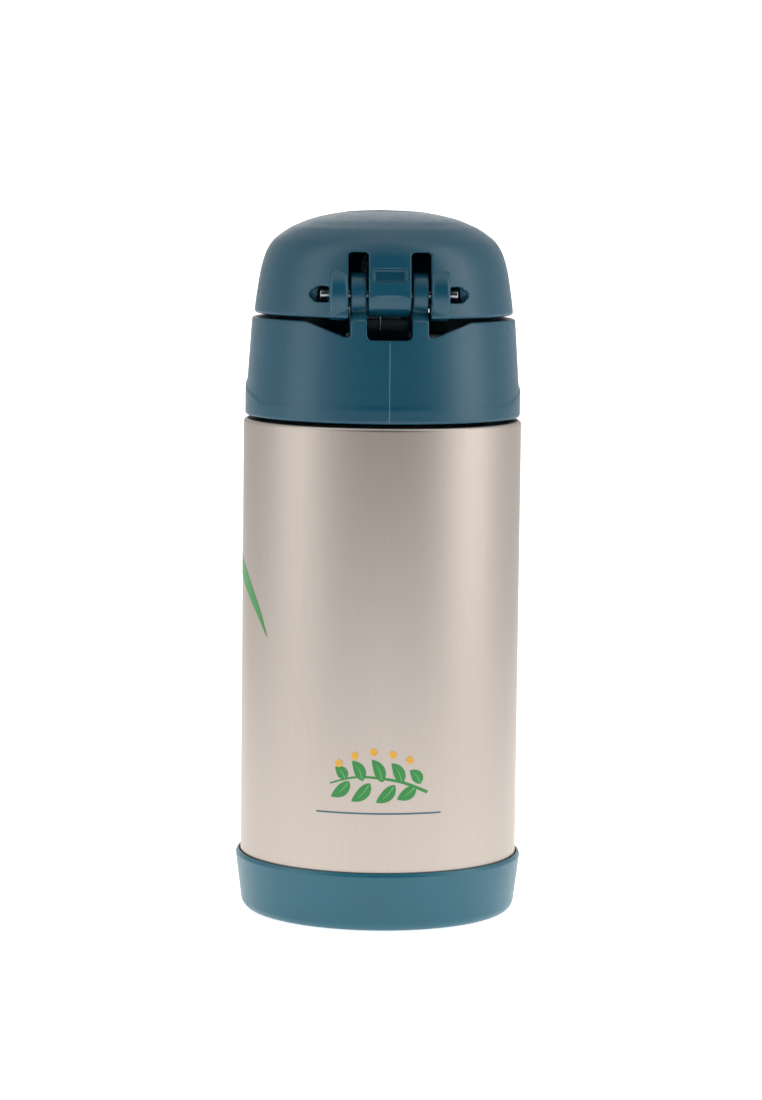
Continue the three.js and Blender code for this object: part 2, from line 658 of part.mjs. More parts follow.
function button() {
  // The pad is a slice of a ring, so that its face follows the collar. A web joins it to the boss on the pin,
  // and the arm above it reaches up inside the cover, where its nose holds the cover's catch.
  const { inner, foot, face, head } = BUTTON_PAD;
  const ring = turned(
    [
      [inner, BUTTON_BOTTOM_Z],
      [foot, BUTTON_BOTTOM_Z],
      [face, BUTTON_BOTTOM_Z + 1.2],
      [face, BUTTON_TOP_Z - 5],
      [head, BUTTON_TOP_Z],
      [inner, BUTTON_TOP_Z],
    ],
    2 * ROUND,
  );
  const pad = ring.intersect(box(-BUTTON_HALF, BUTTON_HALF, -FAR, -20, 0, FAR * 3));
  const { r, half, front } = BUTTON_BOSS;
  const boss = crossCylinder(r, -half, half, BUTTON_PIVOT_Y, BUTTON_PIVOT_Z, ROUND_SMALL);
  const web = box(-half, half, front, BUTTON_PIVOT_Y, BUTTON_PIVOT_Z, BUTTON_BOTTOM_Z + 2);
  const arm = sideExtrusion(
    [
      [HOOK.outer, BUTTON_TOP_Z - 2],
      [HOOK.outer, BUTTON_TOP_Z - 0.2],
      [HOOK.slot, BUTTON_TOP_Z + 0.6],
      [HOOK.slot, HOOK_TOP_Z - HOOK.noseHeight],
      [HOOK.nose, HOOK_TOP_Z - HOOK.noseHeight],
      [HOOK.nose, HOOK_TOP_Z - HOOK.chamfer],
      [HOOK.nose + 1.2, HOOK_TOP_Z],
      [HOOK.inner, HOOK_TOP_Z],
      [HOOK.inner, BUTTON_TOP_Z + 0.2],
      [HOOK.foot, BUTTON_TOP_Z - 2],
    ],
    -HOOK_HALF,
    HOOK_HALF,
  );
  const hole = crossCylinder(BUTTON_PIN_R + 0.1, -FAR, FAR, BUTTON_PIVOT_Y, BUTTON_PIVOT_Z);
  return pad.add(boss).add(web).add(arm).subtract(hole);
}

function buttonPin() {
  return crossCylinder(BUTTON_PIN_R, -BUTTON_PIN_HALF, BUTTON_PIN_HALF, BUTTON_PIVOT_Y, BUTTON_PIVOT_Z);
}

// A small compression coil between the button's pad and the collar's threaded wall.
function buttonSpring() {
  const wire = 0.22;
  const ring = new THREE.Shape().absarc(0, 0, wire, 0, 2 * Math.PI);
  const length = 2.2;
  const coil = new THREE.ExtrudeGeometry(ring, {
    steps: 60,
    curveSegments: 3,
    bevelEnabled: false,
    extrudePath: new Helix(1.7, length, 4),
  });
  const backFace = -31.2;
  return solid(coil.rotateX(-Math.PI / 2).translate(0, backFace + wire, BUTTON_SPRING_Z));
}

// ---------------------------------------------------------------- spout, straw and seals

function spoutStem() {
  const bore = STRAW_R + 0.12;
  return turned(
    [
      [bore, NIPPLE_BOTTOM_Z],
      [4.3, NIPPLE_BOTTOM_Z],
      [4.5, DECK_BOTTOM_Z - 2.2],
      [8.4, DECK_BOTTOM_Z - 1.8],
      [8.6, DECK_BOTTOM_Z - 0.3],
      [SPOUT_HOLE_R - 0.3, DECK_BOTTOM_Z - 0.3],
      [SPOUT_HOLE_R - 0.3, DECK_TOP_Z + 0.3],
      [9.6, DECK_TOP_Z + 0.3],
      [9.2, DECK_TOP_Z + 1.5],
      [6.4, DECK_TOP_Z + 2],
      [5.2, DECK_TOP_Z + 2.6],
      [4.8, DECK_TOP_Z + 2.8],
      [SPOUT_BORE_R, DECK_TOP_Z + 2.8],
      [SPOUT_BORE_R, STRAW_TOP_Z + 1],
      [bore, STRAW_TOP_Z + 0.6],
    ],
    ROUND_SMALL,
  );
}

function spoutTip() {
  const upright = turned(
    [
      [SPOUT_BORE_R, 1],
      [3.6, 1],
      [4.6, 3],
      [SPOUT_R, 6],
      [4.7, 15],
      [4.3, SPOUT_LENGTH - 4],
      [4.9, SPOUT_LENGTH - 2.6],
      [4.7, SPOUT_LENGTH - 0.6],
      [3.8, SPOUT_LENGTH],
      [SPOUT_BORE_R, SPOUT_LENGTH],
    ],
    ROUND_SMALL,
  );
  return upright.rotate([THREE.MathUtils.radToDeg(SPOUT_FOLD), 0, 0]).translate([0, 0, SPOUT_PIVOT_Z]);
}

function straw() {
  return turned(
    [
      [STRAW_BORE_R, STRAW_BOTTOM_Z],
      [STRAW_R, STRAW_BOTTOM_Z],
      [STRAW_R, STRAW_TOP_Z],
      [STRAW_BORE_R, STRAW_TOP_Z],
    ],
    ROUND_SMALL,
  );
}

// The ring between the flask's lip and the lid, with a thin wiping edge inside the mouth.
function mouthGasket() {
  const seat = NECK_TOP_Z + LIP_GAP + 0.4 + 0.2;
  return turned([
    [MOUTH_R - 0.9, seat - 1.2],
    [MOUTH_R - 0.4, seat - 1.2],
    [MOUTH_R - 0.3, seat],
    [NECK_R + 0.1, seat],
    [NECK_R + 0.1, DECK_BOTTOM_Z - 0.2],
    [MOUTH_R - 1.3, DECK_BOTTOM_Z - 0.2],
  ]);
}

// A mushroom valve that lets air into the flask as the child drinks.
function ventValve() {
  const outline = [
    [0, DECK_BOTTOM_Z - 2],
    [0.8, DECK_BOTTOM_Z - 2],
    [2.3, DECK_BOTTOM_Z - 0.9],
    [2.3, DECK_BOTTOM_Z - 0.3],
    [VENT_HOLE_R - 0.3, DECK_BOTTOM_Z - 0.3],
    [VENT_HOLE_R - 0.3, DECK_TOP_Z + 0.3],
    [3.4, DECK_TOP_Z + 0.3],
    [3, DECK_TOP_Z + 0.9],
    [0, DECK_TOP_Z + 1.3],
  ];
  return turned(outline, ROUND_PIN).translate([0, VENT_Y, 0]);
}

// ---------------------------------------------------------------- the assembly

const bottle = new THREE.Group();
bottle.add(
  meshOf("outer_shell", outerShell(), steel),
  meshOf("liner", liner(), steel),
  meshOf("shell_base", shellBase(), steel),
  meshOf("vacuum_seal", vacuumSeal(), getterGrey),
  meshOf("getter", getter(), getterGrey),
  meshOf("boot", boot(), bluePlastic),
);

const lid = new THREE.Group();
lid.add(
  meshOf("collar", collar(), bluePlastic),
  meshOf("cover", cover(), bluePlastic),
  meshOf("hinge_pin", hingePin(), pinSteel),
  meshOf("hinge_spring", hingeSpring(), pinSteel),
  meshOf("button", button(), bluePlastic),
  meshOf("button_pin", buttonPin(), pinSteel),
  meshOf("button_spring", buttonSpring(), pinSteel),
  meshOf("spout_stem", spoutStem(), silicone),
  meshOf("spout_tip", spoutTip(), silicone),
  meshOf("straw", straw(), clearPlastic),
  meshOf("mouth_gasket", mouthGasket(), silicone),
  meshOf("vent_valve", ventValve(), silicone),
);

const sippyCup = new THREE.Group();
sippyCup.add(bottle, lid);

export default sippyCup;
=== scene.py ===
import json
from math import cos, degrees, hypot, pi, radians, sin, tan

import bpy
import numpy as np
from mathutils import Matrix, Vector


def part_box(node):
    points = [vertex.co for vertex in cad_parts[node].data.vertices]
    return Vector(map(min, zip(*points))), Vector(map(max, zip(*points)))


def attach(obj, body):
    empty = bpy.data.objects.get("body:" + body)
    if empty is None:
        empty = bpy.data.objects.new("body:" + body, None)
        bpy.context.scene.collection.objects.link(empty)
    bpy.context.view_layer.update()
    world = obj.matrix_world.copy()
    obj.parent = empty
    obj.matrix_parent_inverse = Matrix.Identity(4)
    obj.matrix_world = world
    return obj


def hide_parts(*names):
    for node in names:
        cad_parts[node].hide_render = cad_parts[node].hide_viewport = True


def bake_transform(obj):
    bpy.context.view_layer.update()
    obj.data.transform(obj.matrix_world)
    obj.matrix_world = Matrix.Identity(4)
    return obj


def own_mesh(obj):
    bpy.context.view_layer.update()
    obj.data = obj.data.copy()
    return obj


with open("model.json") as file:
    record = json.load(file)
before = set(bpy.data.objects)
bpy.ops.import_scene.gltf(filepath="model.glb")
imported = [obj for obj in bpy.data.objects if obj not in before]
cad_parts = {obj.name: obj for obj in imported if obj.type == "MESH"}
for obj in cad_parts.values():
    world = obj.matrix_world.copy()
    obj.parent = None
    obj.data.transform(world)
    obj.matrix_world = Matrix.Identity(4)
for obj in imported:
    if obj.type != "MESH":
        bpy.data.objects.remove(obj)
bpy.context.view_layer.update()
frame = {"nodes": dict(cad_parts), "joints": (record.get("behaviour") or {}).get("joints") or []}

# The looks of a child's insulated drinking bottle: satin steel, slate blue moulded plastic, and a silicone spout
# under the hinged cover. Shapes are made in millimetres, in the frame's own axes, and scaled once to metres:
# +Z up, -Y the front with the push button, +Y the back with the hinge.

# ---------------------------------------------------------------- sizes, in millimetres

MM = 0.001
ROUND = 224  # segments round the large shells
ROUND_SMALL = 96
FAR = 60  # reaches past the object at the sides, for cutting tools
HIGH = 190  # and past its top
EYE = 0.15  # radial clearance of a pin in its hole


def box_mm(node):
    """Lowest and highest corner of a CAD node."""
    low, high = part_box(node)
    return [v / MM for v in low], [v / MM for v in high]


def pivot_mm(joint):
    """(y, z) of a hinge's axis."""
    found = next(j for j in frame["joints"] if j["name"] == joint)
    return found["pos_m"][1] / MM, found["pos_m"][2] / MM


SHEET = 0.6
BODY_R = box_mm("outer_shell")[1][0]
SHELL_BOTTOM, NECK_TOP = box_mm("outer_shell")[0][2], box_mm("outer_shell")[1][2]
BOOT_TOP, BOOT_R = box_mm("boot")[1][2], box_mm("boot")[1][0]
COLLAR_BOTTOM, BAND_R = box_mm("collar")[0][2], box_mm("collar")[1][0]
GASKET_BOTTOM, DECK_BOTTOM = box_mm("mouth_gasket")[0][2], box_mm("mouth_gasket")[1][2] + 0.2
STRAW_BOTTOM, STRAW_TOP = box_mm("straw")[0][2], box_mm("straw")[1][2]
STRAW_R = box_mm("straw")[1][0]
HINGE_Y, HINGE_Z = pivot_mm("cover_open")
BUTTON_Y, BUTTON_Z = pivot_mm("button_press")
SPOUT_Z = pivot_mm("spout_fold")[1]
COVER_BOTTOM = HINGE_Z - 5.7
PIN_HALF = box_mm("hinge_pin")[1][0]
PIN_R = box_mm("hinge_pin")[1][2] - HINGE_Z

DECK_TOP = DECK_BOTTOM + 2
SHOULDER = COLLAR_BOTTOM - 0.8
FOOT_STEP = BOOT_TOP - 2.9
FOOT_R = BODY_R - 1.55
NECK_R = 25
MOUTH_R = 23.4
LINER_R = BODY_R - 3.75
LINER_FLOOR = 8
PITCH = 4
THREAD_DEPTH = 0.75
LID_THREAD_R = NECK_R + 1.8

COLLAR_TOP = COVER_BOTTOM - 0.9
COLLAR_TOP_R = BAND_R - 1.55
COLLAR_DRAFT = 0.068  # how much the radius grows for each millimetre down
RIM_R = COLLAR_TOP_R - 1.95
BAND_BACK = COLLAR_BOTTOM + 4.1
BAND_FRONT = COLLAR_BOTTOM + 18.2
BAND_RISE_FROM, BAND_RISE_OVER = 64, 75  # degrees from the back
VENT_Y, VENT_HOLE_R = 15, 1.6
SPOUT_HOLE_R = 7
HINGE_GUARD = (-5.4, 5.4, 18.65, 19.35, DECK_TOP - 0.5, DECK_TOP + 5.8)
BUTTON_GUARD = (-10.5, 10.5, -26.9, -25.7, DECK_TOP - 0.5, COLLAR_TOP + 1)

COVER_R = COLLAR_TOP_R - 0.55
COVER_WALL = 1.8
THUMB_LIP_R, THUMB_LIP_HALF = 34.3, 9
EAR_R = 5.4
KNUCKLE_R = 6.4  # the cover's own knuckles stand a little proud of the ears
CENTRE_HALF = 5.15
EAR_IN, EAR_OUT = 5.6, 9.5
CAP_IN, CAP_OUT = 10.05, 14.65
SLOT_TOP = HINGE_Z + 10.3
SCALLOP_OUT = 20.2
SCALLOP_Z = COLLAR_TOP - 3.6
WINDOW_Z = DECK_TOP + 1

BUTTON_HALF = box_mm("button")[1][0]
BUTTON_TOP = COLLAR_TOP - 1
BUTTON_BOTTOM = BUTTON_TOP - 15.5
BUTTON_BOSS_R, BUTTON_BOSS_HALF = 1.4, 6.4
BUTTON_PIN_R, BUTTON_PIN_HALF = 0.8, 9.4
BUTTON_IN_R, BUTTON_OUT_R = 31.6, 34.9
BUTTON_CHEEK = (7, 9.8, -31.3, -26.5)  # x and y of the walls that hold the button's pin
HOOK_HALF = 4
HOOK_IN, HOOK_SLOT, HOOK_NOSE, HOOK_OUT = -28.9, -30.1, -31.4, -32.2  # y of the arm's faces
HOOK_TOP = box_mm("button")[1][2]
SPOUT_LENGTH = 27
SPOUT_FOLD = radians(62)

# ---------------------------------------------------------------- mesh making


def made(name, points, faces):
    """A new object from points in millimetres."""
    mesh = bpy.data.meshes.new(name)
    mesh.from_pydata([[MM * c for c in p] for p in points], [], faces)
    obj = bpy.data.objects.new(name, mesh)
    bpy.context.scene.collection.objects.link(obj)
    return obj


def rounded(corners, steps=5):
    """A closed outline whose corners are (r, z) or (r, z, radius of the rounding)."""
    points = []
    for i, (r, z, *rounding) in enumerate(corners):
        here = Vector((r, z))
        before = Vector(corners[i - 1][:2]) - here
        after = Vector(corners[(i + 1) % len(corners)][:2]) - here
        half = before.angle(after) / 2
        if not rounding or half > radians(87):
            points.append(here)
            continue
        reach = min(rounding[0] / tan(half), 0.49 * before.length, 0.49 * after.length)
        centre = here + (before.normalized() + after.normalized()).normalized() * (reach / cos(half))
        start = here + before.normalized() * reach - centre
        end = here + after.normalized() * reach - centre
        sweep = start.angle(end)
        for k in range(steps + 1):
            t = k / steps
            points.append(centre + (start * sin((1 - t) * sweep) + end * sin(t * sweep)) / sin(sweep))
    return [(p[0], p[1]) for p in points]


def smooth_line(points, steps=6):
    """A Catmull-Rom curve through the points, open at both ends."""
    found = []
    for i in range(len(points) - 1):
        a, b = Vector(points[max(i - 1, 0)]), Vector(points[i])
        c, d = Vector(points[i + 1]), Vector(points[min(i + 2, len(points) - 1)])
        for k in range(steps):
            t = k / steps
            bend = (2 * a - 5 * b + 4 * c - d) * t * t + (3 * b - a - 3 * c + d) * t**3
            found.append(0.5 * (2 * b + (c - a) * t + bend))
    found.append(Vector(points[-1]))
    return [tuple(p) for p in found]


def skin(rings, closed):
    """Quads between rings of vertex numbers. A ring of one vertex is a pole."""
    faces = []
    pairs = zip(rings, rings[1:] + rings[:1]) if closed else zip(rings, rings[1:])
    for low, high in pairs:
        count = max(len(low), len(high))
        if count == 1:
            continue
        for i in range(count):
            j = (i + 1) % count
            corners = [low[i % len(low)], low[j % len(low)], high[j % len(high)], high[i % len(high)]]
            faces.append(list(dict.fromkeys(corners)))
    return faces


def lathe(name, outline, segments=ROUND):
    """A closed outline of (r, z) turned about Z. It runs counter-clockwise, with r to the right and z up."""
    return ring(name, [outline] * segments)


def ring(name, outlines):
    """A ring whose outline changes round it: one outline for each step, counted from the back."""
    points, rings = [], []
    segments = len(outlines)
    for j in range(len(outlines[0])):
        if outlines[0][j][0] < 1e-6:
            rings.append([len(points)])
            points.append((0, 0, outlines[0][j][1]))
            continue
        rings.append(list(range(len(points), len(points) + segments)))
        for i, outline in enumerate(outlines):
            angle = pi / 2 + 2 * pi * i / segments
            points.append((outline[j][0] * cos(angle), outline[j][0] * sin(angle), outline[j][1]))
    return made(name, points, skin(rings, closed=True))


def changed(obj, change):
    """Moves every vertex: change takes and gives (x, y, z) in millimetres."""
    for v in obj.data.vertices:
        v.co = Vector(change(*(v.co / MM))) * MM
    obj.data.update()
    return obj


def turned_in(obj):
    """The object with its faces the other way round."""
    obj.data.flip_normals()
    return obj


def cross_rod(radius, x0, x1, y, z, edge=0.0, segments=ROUND_SMALL):
    """A rod along X from x0 to x1, about the line through (y, z). edge rounds its ends."""
    outline = [(0, x0), (radius, x0), (radius, x1), (0, x1)]
    if edge:
        outline = rounded([(0, x0), (radius, x0, edge), (radius, x1, edge), (0, x1)], 4)
    rod = lathe("tool", outline, segments)
    return changed(rod, lambda a, b, c: (c, y + a, z + b))


def bar(x0, x1, y0, y1, z0, z1):
    """A block, to cut or to add to a piece."""
    corners = [(x, y, z) for z in (z0, z1) for x, y in ((x0, y0), (x1, y0), (x1, y1), (x0, y1))]
    faces = [(3, 2, 1, 0), (4, 5, 6, 7), (0, 1, 5, 4), (1, 2, 6, 5), (2, 3, 7, 6), (3, 0, 4, 7)]
    return made("tool", corners, faces)


def prism(outline, low, high, place):
    """A counter-clockwise outline pushed from low to high. place turns (u, v, w) into (x, y, z)."""
    count = len(outline)
    points = [place(u, v, w) for w in (low, high) for u, v in outline]
    faces = [list(range(count))[::-1], list(range(count, 2 * count))]
    faces += [(i, (i + 1) % count, count + (i + 1) % count, count + i) for i in range(count)]
    return made("tool", points, faces)


def side_prism(outline, x0, x1):
    """An outline of (y, z) pushed along X."""
    return prism(outline, x0, x1, lambda u, v, w: (w, u, v))


def back_prism(outline, y0, y1):
    """An outline of (x, z) pushed along Y."""
    return turned_in(prism(outline, y0, y1, lambda u, v, w: (u, w, v)))


def mirrored(obj):
    """A copy at the other side."""
    twin = bpy.data.objects.new(obj.name, obj.data.copy())
    bpy.context.scene.collection.objects.link(twin)
    return turned_in(changed(twin, lambda x, y, z: (-x, y, z)))


def both_sides(obj):
    return [obj, mirrored(obj)]


def settle(obj):
    """The object's mesh becomes what its modifiers make of it."""
    graph = bpy.context.evaluated_depsgraph_get()
    mesh = bpy.data.meshes.new_from_object(obj.evaluated_get(graph))
    obj.modifiers.clear()
    obj.data = mesh
    mesh.name = obj.name
    return obj


def combined(obj, tools, operation):
    for tool in tools:
        step = obj.modifiers.new("combine", "BOOLEAN")
        step.object, step.operation, step.solver = tool, operation, "EXACT"
        settle(obj)
        bpy.data.objects.remove(tool)
    return obj


def fused(obj, *tools):
    return combined(obj, tools, "UNION")


def carved(obj, *tools):
    return combined(obj, tools, "DIFFERENCE")


def kept_in(obj, *tools):
    return combined(obj, tools, "INTERSECT")


def moulded(obj, grain=0.3, rounds=4):
    """Remeshes a piece evenly and eases its edges, as a mould does."""
    remesh = obj.modifiers.new("remesh", "REMESH")
    remesh.mode, remesh.voxel_size = "VOXEL", grain * MM
    ease = obj.modifiers.new("ease", "SMOOTH")
    ease.factor, ease.iterations = 0.5, rounds
    return settle(obj)


TRUE_REACH = 0.12  # a remeshed point further than this from the exact outline is left where it is


def points_of(obj):
    """The mesh's points as rows of x, y and z in millimetres."""
    found = np.empty(3 * len(obj.data.vertices))
    obj.data.vertices.foreach_get("co", found)
    return found.reshape(-1, 3) / MM


def with_points(obj, points):
    obj.data.vertices.foreach_set("co", (points * MM).ravel())
    obj.data.update()
    return obj


def pull(off):
    """How much of the way a point this far off goes back to the exact outline."""
    return np.where(off < TRUE_REACH, 1 - (off / TRUE_REACH) ** 4, 0)


def trued(obj, outline_at):
    """Draws the remeshed surface back onto the exact turned outline, wherever it has stayed near it.

    outline_at(angles, heights) gives the exact radius at each vertex, or nan where there is none.
    """
    points = points_of(obj)
    radius = np.hypot(points[:, 0], points[:, 1])
    exact = outline_at(np.arctan2(points[:, 0], points[:, 1]), points[:, 2])
    scale = 1 + pull(np.abs(exact - radius)) * np.nan_to_num(exact - radius) / np.maximum(radius, 1e-6)
    points[:, :2] *= scale[:, None]
    return with_points(obj, points)


def tube(name, path, radius, sides=16):
    """A closed round wire along a path."""
    path = [Vector(p) for p in path]
    points, rings = [], []
    across = None
    for i, p in enumerate(path):
        along = (path[min(i + 1, len(path) - 1)] - path[max(i - 1, 0)]).normalized()
        if across is None:
            across = along.orthogonal().normalized()
        across = (across - along * across.dot(along)).normalized()
        other = along.cross(across)
        rings.append(list(range(len(points), len(points) + sides)))
        for k in range(sides):
            angle = 2 * pi * k / sides
            points.append(p + radius * (cos(angle) * across + sin(angle) * other))
    faces = skin(rings, closed=False) + [rings[0][::-1], rings[-1]]
    return made(name, points, faces)


def helix_ridge(name, start, turns, root, crest):
    """A right-hand screw thread that fades out at both ends, as a rolled thread does."""
    per_turn = 120
    steps = round(turns * per_turn)
    points, rings = [], []
    for i in range(steps + 1):
        angle = 2 * pi * i / per_turn
        z = start + PITCH * i / per_turn
        fade = sin(min(1, min(i, steps - i) / 15) * pi / 2)
        height = 0.06 + (crest - root) * fade if crest > root else -0.06 + (crest - root) * fade
        section = [(0, -0.9), (0.55, -0.62), (0.9, -0.34), (1, 0), (0.9, 0.34), (0.55, 0.62), (0, 0.9)]
        rings.append(list(range(len(points), len(points) + len(section))))
        for out, up in section:
            r = root + height * out
            points.append((r * cos(angle), r * sin(angle), z + up))
    ridge = made(name, points, skin(rings, closed=False) + [rings[0][::-1], rings[-1]])
    return ridge if crest < root else turned_in(ridge)


def finished(obj, body, node, material, smooth=True):
    """Gives a piece its shading, material and CAD body, and hides the CAD node that it stands for."""
    if smooth:
        obj.data.shade_smooth()
        weights = obj.modifiers.new("weights", "WEIGHTED_NORMAL")
        weights.keep_sharp = True
        settle(obj)
    obj.data.materials.clear()
    obj.data.materials.append(material)
    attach(obj, body)
    if node:
        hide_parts(node)
    return obj


def bending(obj, node, material):
    """Finishes a piece that lies between the lid and a body on it: smooth shading, its material, its CAD node
    hidden and its place baked in.
    """
    obj.data.shade_smooth()
    obj.data.materials.append(material)
    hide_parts(node)
    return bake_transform(obj)


# ---------------------------------------------------------------- materials


class Look:
    """The nodes of a material or of the world. Each input is a constant, or an output socket to link from."""

    def __init__(self, owner):
        owner.use_nodes = True
        self.owner, self.nodes, self.links = owner, owner.node_tree.nodes, owner.node_tree.links

    def put(self, node, inputs):
        for name, value in inputs.items():
            if isinstance(value, bpy.types.NodeSocket):
                self.links.new(value, node.inputs[name])
            else:
                node.inputs[name].default_value = value

    def node(self, kind, output, inputs, **settings):
        """Makes a node and gives its output of that name."""
        node = self.nodes.new("ShaderNode" + kind)
        for name, value in settings.items():
            setattr(node, name, value)
        self.put(node, inputs)
        return node.outputs[output]

    def math(self, operation, *values):
        return self.node("Math", "Value", dict(enumerate(values)), operation=operation)

    def part(self, vector, axis):
        return self.node("SeparateXYZ", axis, {"Vector": vector})

    def ranged(self, source, from_low, from_high, low, high):
        ends = {"From Min": from_low, "From Max": from_high, "To Min": low, "To Max": high}
        return self.node("MapRange", "Result", {"Value": source, **ends})

    def noise(self, scale, detail=3.0, stretch=(1, 1, 1)):
        """Noise in the object's own space: scale is in waves per millimetre, stretched along the axes."""
        where = self.node("TexCoord", "Object", {})
        where = self.node("Mapping", "Vector", {"Vector": where, "Scale": [v / MM for v in stretch]})
        return self.node("TexNoise", "Fac", {"Vector": where, "Scale": scale, "Detail": detail})

    def spread(self, source, low, high):
        """Maps a noise's middle range to low..high."""
        return self.ranged(source, 0.3, 0.7, low, high)

    def mixed(self, source, dark, light):
        """A colour that drifts between dark and light with a noise."""
        inputs = {"Factor": self.spread(source, 0, 1), "A": (*dark, 1), "B": (*light, 1)}
        return self.node("Mix", "Result", inputs, data_type="RGBA")

    def bump(self, height, depth, strength=1.0):
        """A normal from a height. The depth is in millimetres."""
        return self.node("Bump", "Normal", {"Height": height, "Distance": depth * MM, "Strength": strength})

    def surface(self, base, roughness, **others):
        """Feeds the shader. A socket's name is written with _ for its spaces."""
        named = {name.replace("_", " "): value for name, value in others.items()}
        self.put(self.nodes["Principled BSDF"], {"Base Color": base, "Roughness": roughness, **named})
        return self.owner


def new_look(name):
    return Look(bpy.data.materials.new(name))


def blue_plastic(name, dark, light):
    """Slate blue polypropylene with a fine spark-eroded mould grain."""
    look = new_look(name)
    base = look.mixed(look.noise(0.06), dark, light)
    grain = look.bump(look.noise(5.0, 4.0), 0.006)
    return look.surface(base, look.spread(look.noise(0.5), 0.31, 0.39), Normal=grain)


def brushed_steel():
    """Warm satin steel with fine upright brush lines under clear lacquer."""
    look = new_look("brushed_steel")
    fine = look.noise(9.0, 5.0, (1, 1, 0.012))
    wide = look.noise(1.1, 3.0, (1, 1, 0.02))
    return look.surface(
        look.mixed(fine, (0.475, 0.418, 0.375), (0.505, 0.446, 0.402)),
        look.spread(wide, 0.36, 0.39),
        Metallic=1.0,
        Anisotropic=0.75,
        Tangent=look.node("Tangent", "Tangent", {}, direction_type="RADIAL", axis="Z"),
        Normal=look.bump(fine, 0.003, 0.35),
    )


def liner_steel():
    """Electropolished steel of the inner vessel."""
    look = new_look("liner_steel")
    rings = look.noise(2.0, 3.0, (0.05, 0.05, 1))
    base = look.mixed(rings, (0.56, 0.55, 0.54), (0.64, 0.63, 0.62))
    return look.surface(base, look.spread(rings, 0.2, 0.3), Metallic=1.0, Normal=look.bump(rings, 0.004, 0.5))


def wire_steel():
    """Drawn stainless wire, darker than bare stainless as painted shade for the shaded gaps where the pins and
    springs sit.
    """
    look = new_look("wire_steel")
    scuffs = look.noise(4.0, 4.0)
    base = look.mixed(scuffs, (0.30, 0.31, 0.33), (0.40, 0.41, 0.43))
    return look.surface(base, look.spread(scuffs, 0.2, 0.34), Metallic=1.0, Normal=look.bump(scuffs, 0.003, 0.5))


def sintered_metal():
    look = new_look("sintered_metal")
    grain = look.noise(6.0, 5.0)
    base = look.mixed(grain, (0.10, 0.10, 0.11), (0.20, 0.20, 0.21))
    return look.surface(base, 0.6, Metallic=0.7, Normal=look.bump(grain, 0.03))


def silicone():
    """Milky food-grade silicone, soft and slightly see-through."""
    look = new_look("milky_silicone")
    return look.surface(
        look.mixed(look.noise(0.25, 2.0), (0.70, 0.74, 0.75), (0.77, 0.80, 0.80)),
        look.spread(look.noise(1.5), 0.42, 0.52),
        Subsurface_Weight=0.35,
        Subsurface_Radius=(1.0, 1.0, 1.0),
        Subsurface_Scale=1.5 * MM,
        Normal=look.bump(look.noise(4.0, 3.0), 0.006),
    )


def straw_plastic():
    """Natural polypropylene, cloudy and faintly drawn along its length."""
    look = new_look("straw_plastic")
    lines = look.noise(3.0, 3.0, (1, 1, 0.02))
    base = look.mixed(lines, (0.72, 0.75, 0.75), (0.80, 0.82, 0.82))
    cloud = {"Subsurface_Weight": 0.2, "Subsurface_Scale": 1.0 * MM}
    return look.surface(base, 0.32, **cloud, Normal=look.bump(lines, 0.004))


def print_ink(name, dark, light):
    """Screen-printed enamel: an even coat with a faint mesh mottle."""
    look = new_look(name)
    mottle = look.noise(3.0, 4.0)
    roughness = look.spread(mottle, 0.4, 0.5)
    return look.surface(look.mixed(mottle, dark, light), roughness, Normal=look.bump(mottle, 0.004))


def glass_solder():
    look = new_look("glass_solder")
    return look.surface(look.mixed(look.noise(1.0, 3.0), (0.02, 0.02, 0.022), (0.05, 0.05, 0.055)), 0.2)


BLUE = blue_plastic("slate_blue_plastic", (0.002, 0.064, 0.106), (0.003, 0.074, 0.122))
BOOT_BLUE = blue_plastic("boot_blue_plastic", (0.010, 0.108, 0.158), (0.012, 0.120, 0.172))
# The parting line's lighter blue is a painted highlight along its raised ridge.
PARTING_LINE_HIGHLIGHT_BLUE = blue_plastic("parting_line_painted_highlight", (0.06, 0.16, 0.23), (0.07, 0.18, 0.25))
STEEL = brushed_steel()
LINER = liner_steel()
WIRE = wire_steel()
SILICONE = silicone()
STRAW = straw_plastic()
GREEN = print_ink("green_ink", (0.028, 0.225, 0.050), (0.040, 0.290, 0.068))
PALE_GREEN = print_ink("pale_green_ink", (0.12, 0.42, 0.13), (0.16, 0.48, 0.16))
YELLOW = print_ink("yellow_ink", (0.72, 0.36, 0.04), (0.82, 0.46, 0.06))
SLATE = print_ink("slate_ink", (0.05, 0.13, 0.16), (0.07, 0.16, 0.19))

# ---------------------------------------------------------------- vacuum flask


def outer_shell():
    inner = BODY_R - SHEET
    outline = rounded(
        [
            (FOOT_R - SHEET, SHELL_BOTTOM),
            (FOOT_R, SHELL_BOTTOM, 0.2),
            (FOOT_R, FOOT_STEP - 1.6, 1),
            (BODY_R, FOOT_STEP, 1),
            (BODY_R, SHOULDER, 1.0),
            (NECK_R, SHOULDER, 1.2),
            (NECK_R, NECK_TOP, 0.25),
            (NECK_R - SHEET, NECK_TOP, 0.25),
            (NECK_R - SHEET, SHOULDER - SHEET, 0.6),
            (inner, SHOULDER - SHEET, 1),
            (inner, FOOT_STEP + 0.4, 0.6),
            (FOOT_R - SHEET, FOOT_STEP - 1.2, 0.6),
        ],
        8,
    )
    shell = lathe("outer_shell_wall", outline)
    ridge = helix_ridge("tool", COLLAR_BOTTOM + 5.7, 1.25, NECK_R - 0.2, NECK_R + THREAD_DEPTH)
    return finished(fused(shell, ridge), "bottle", "outer_shell", STEEL)


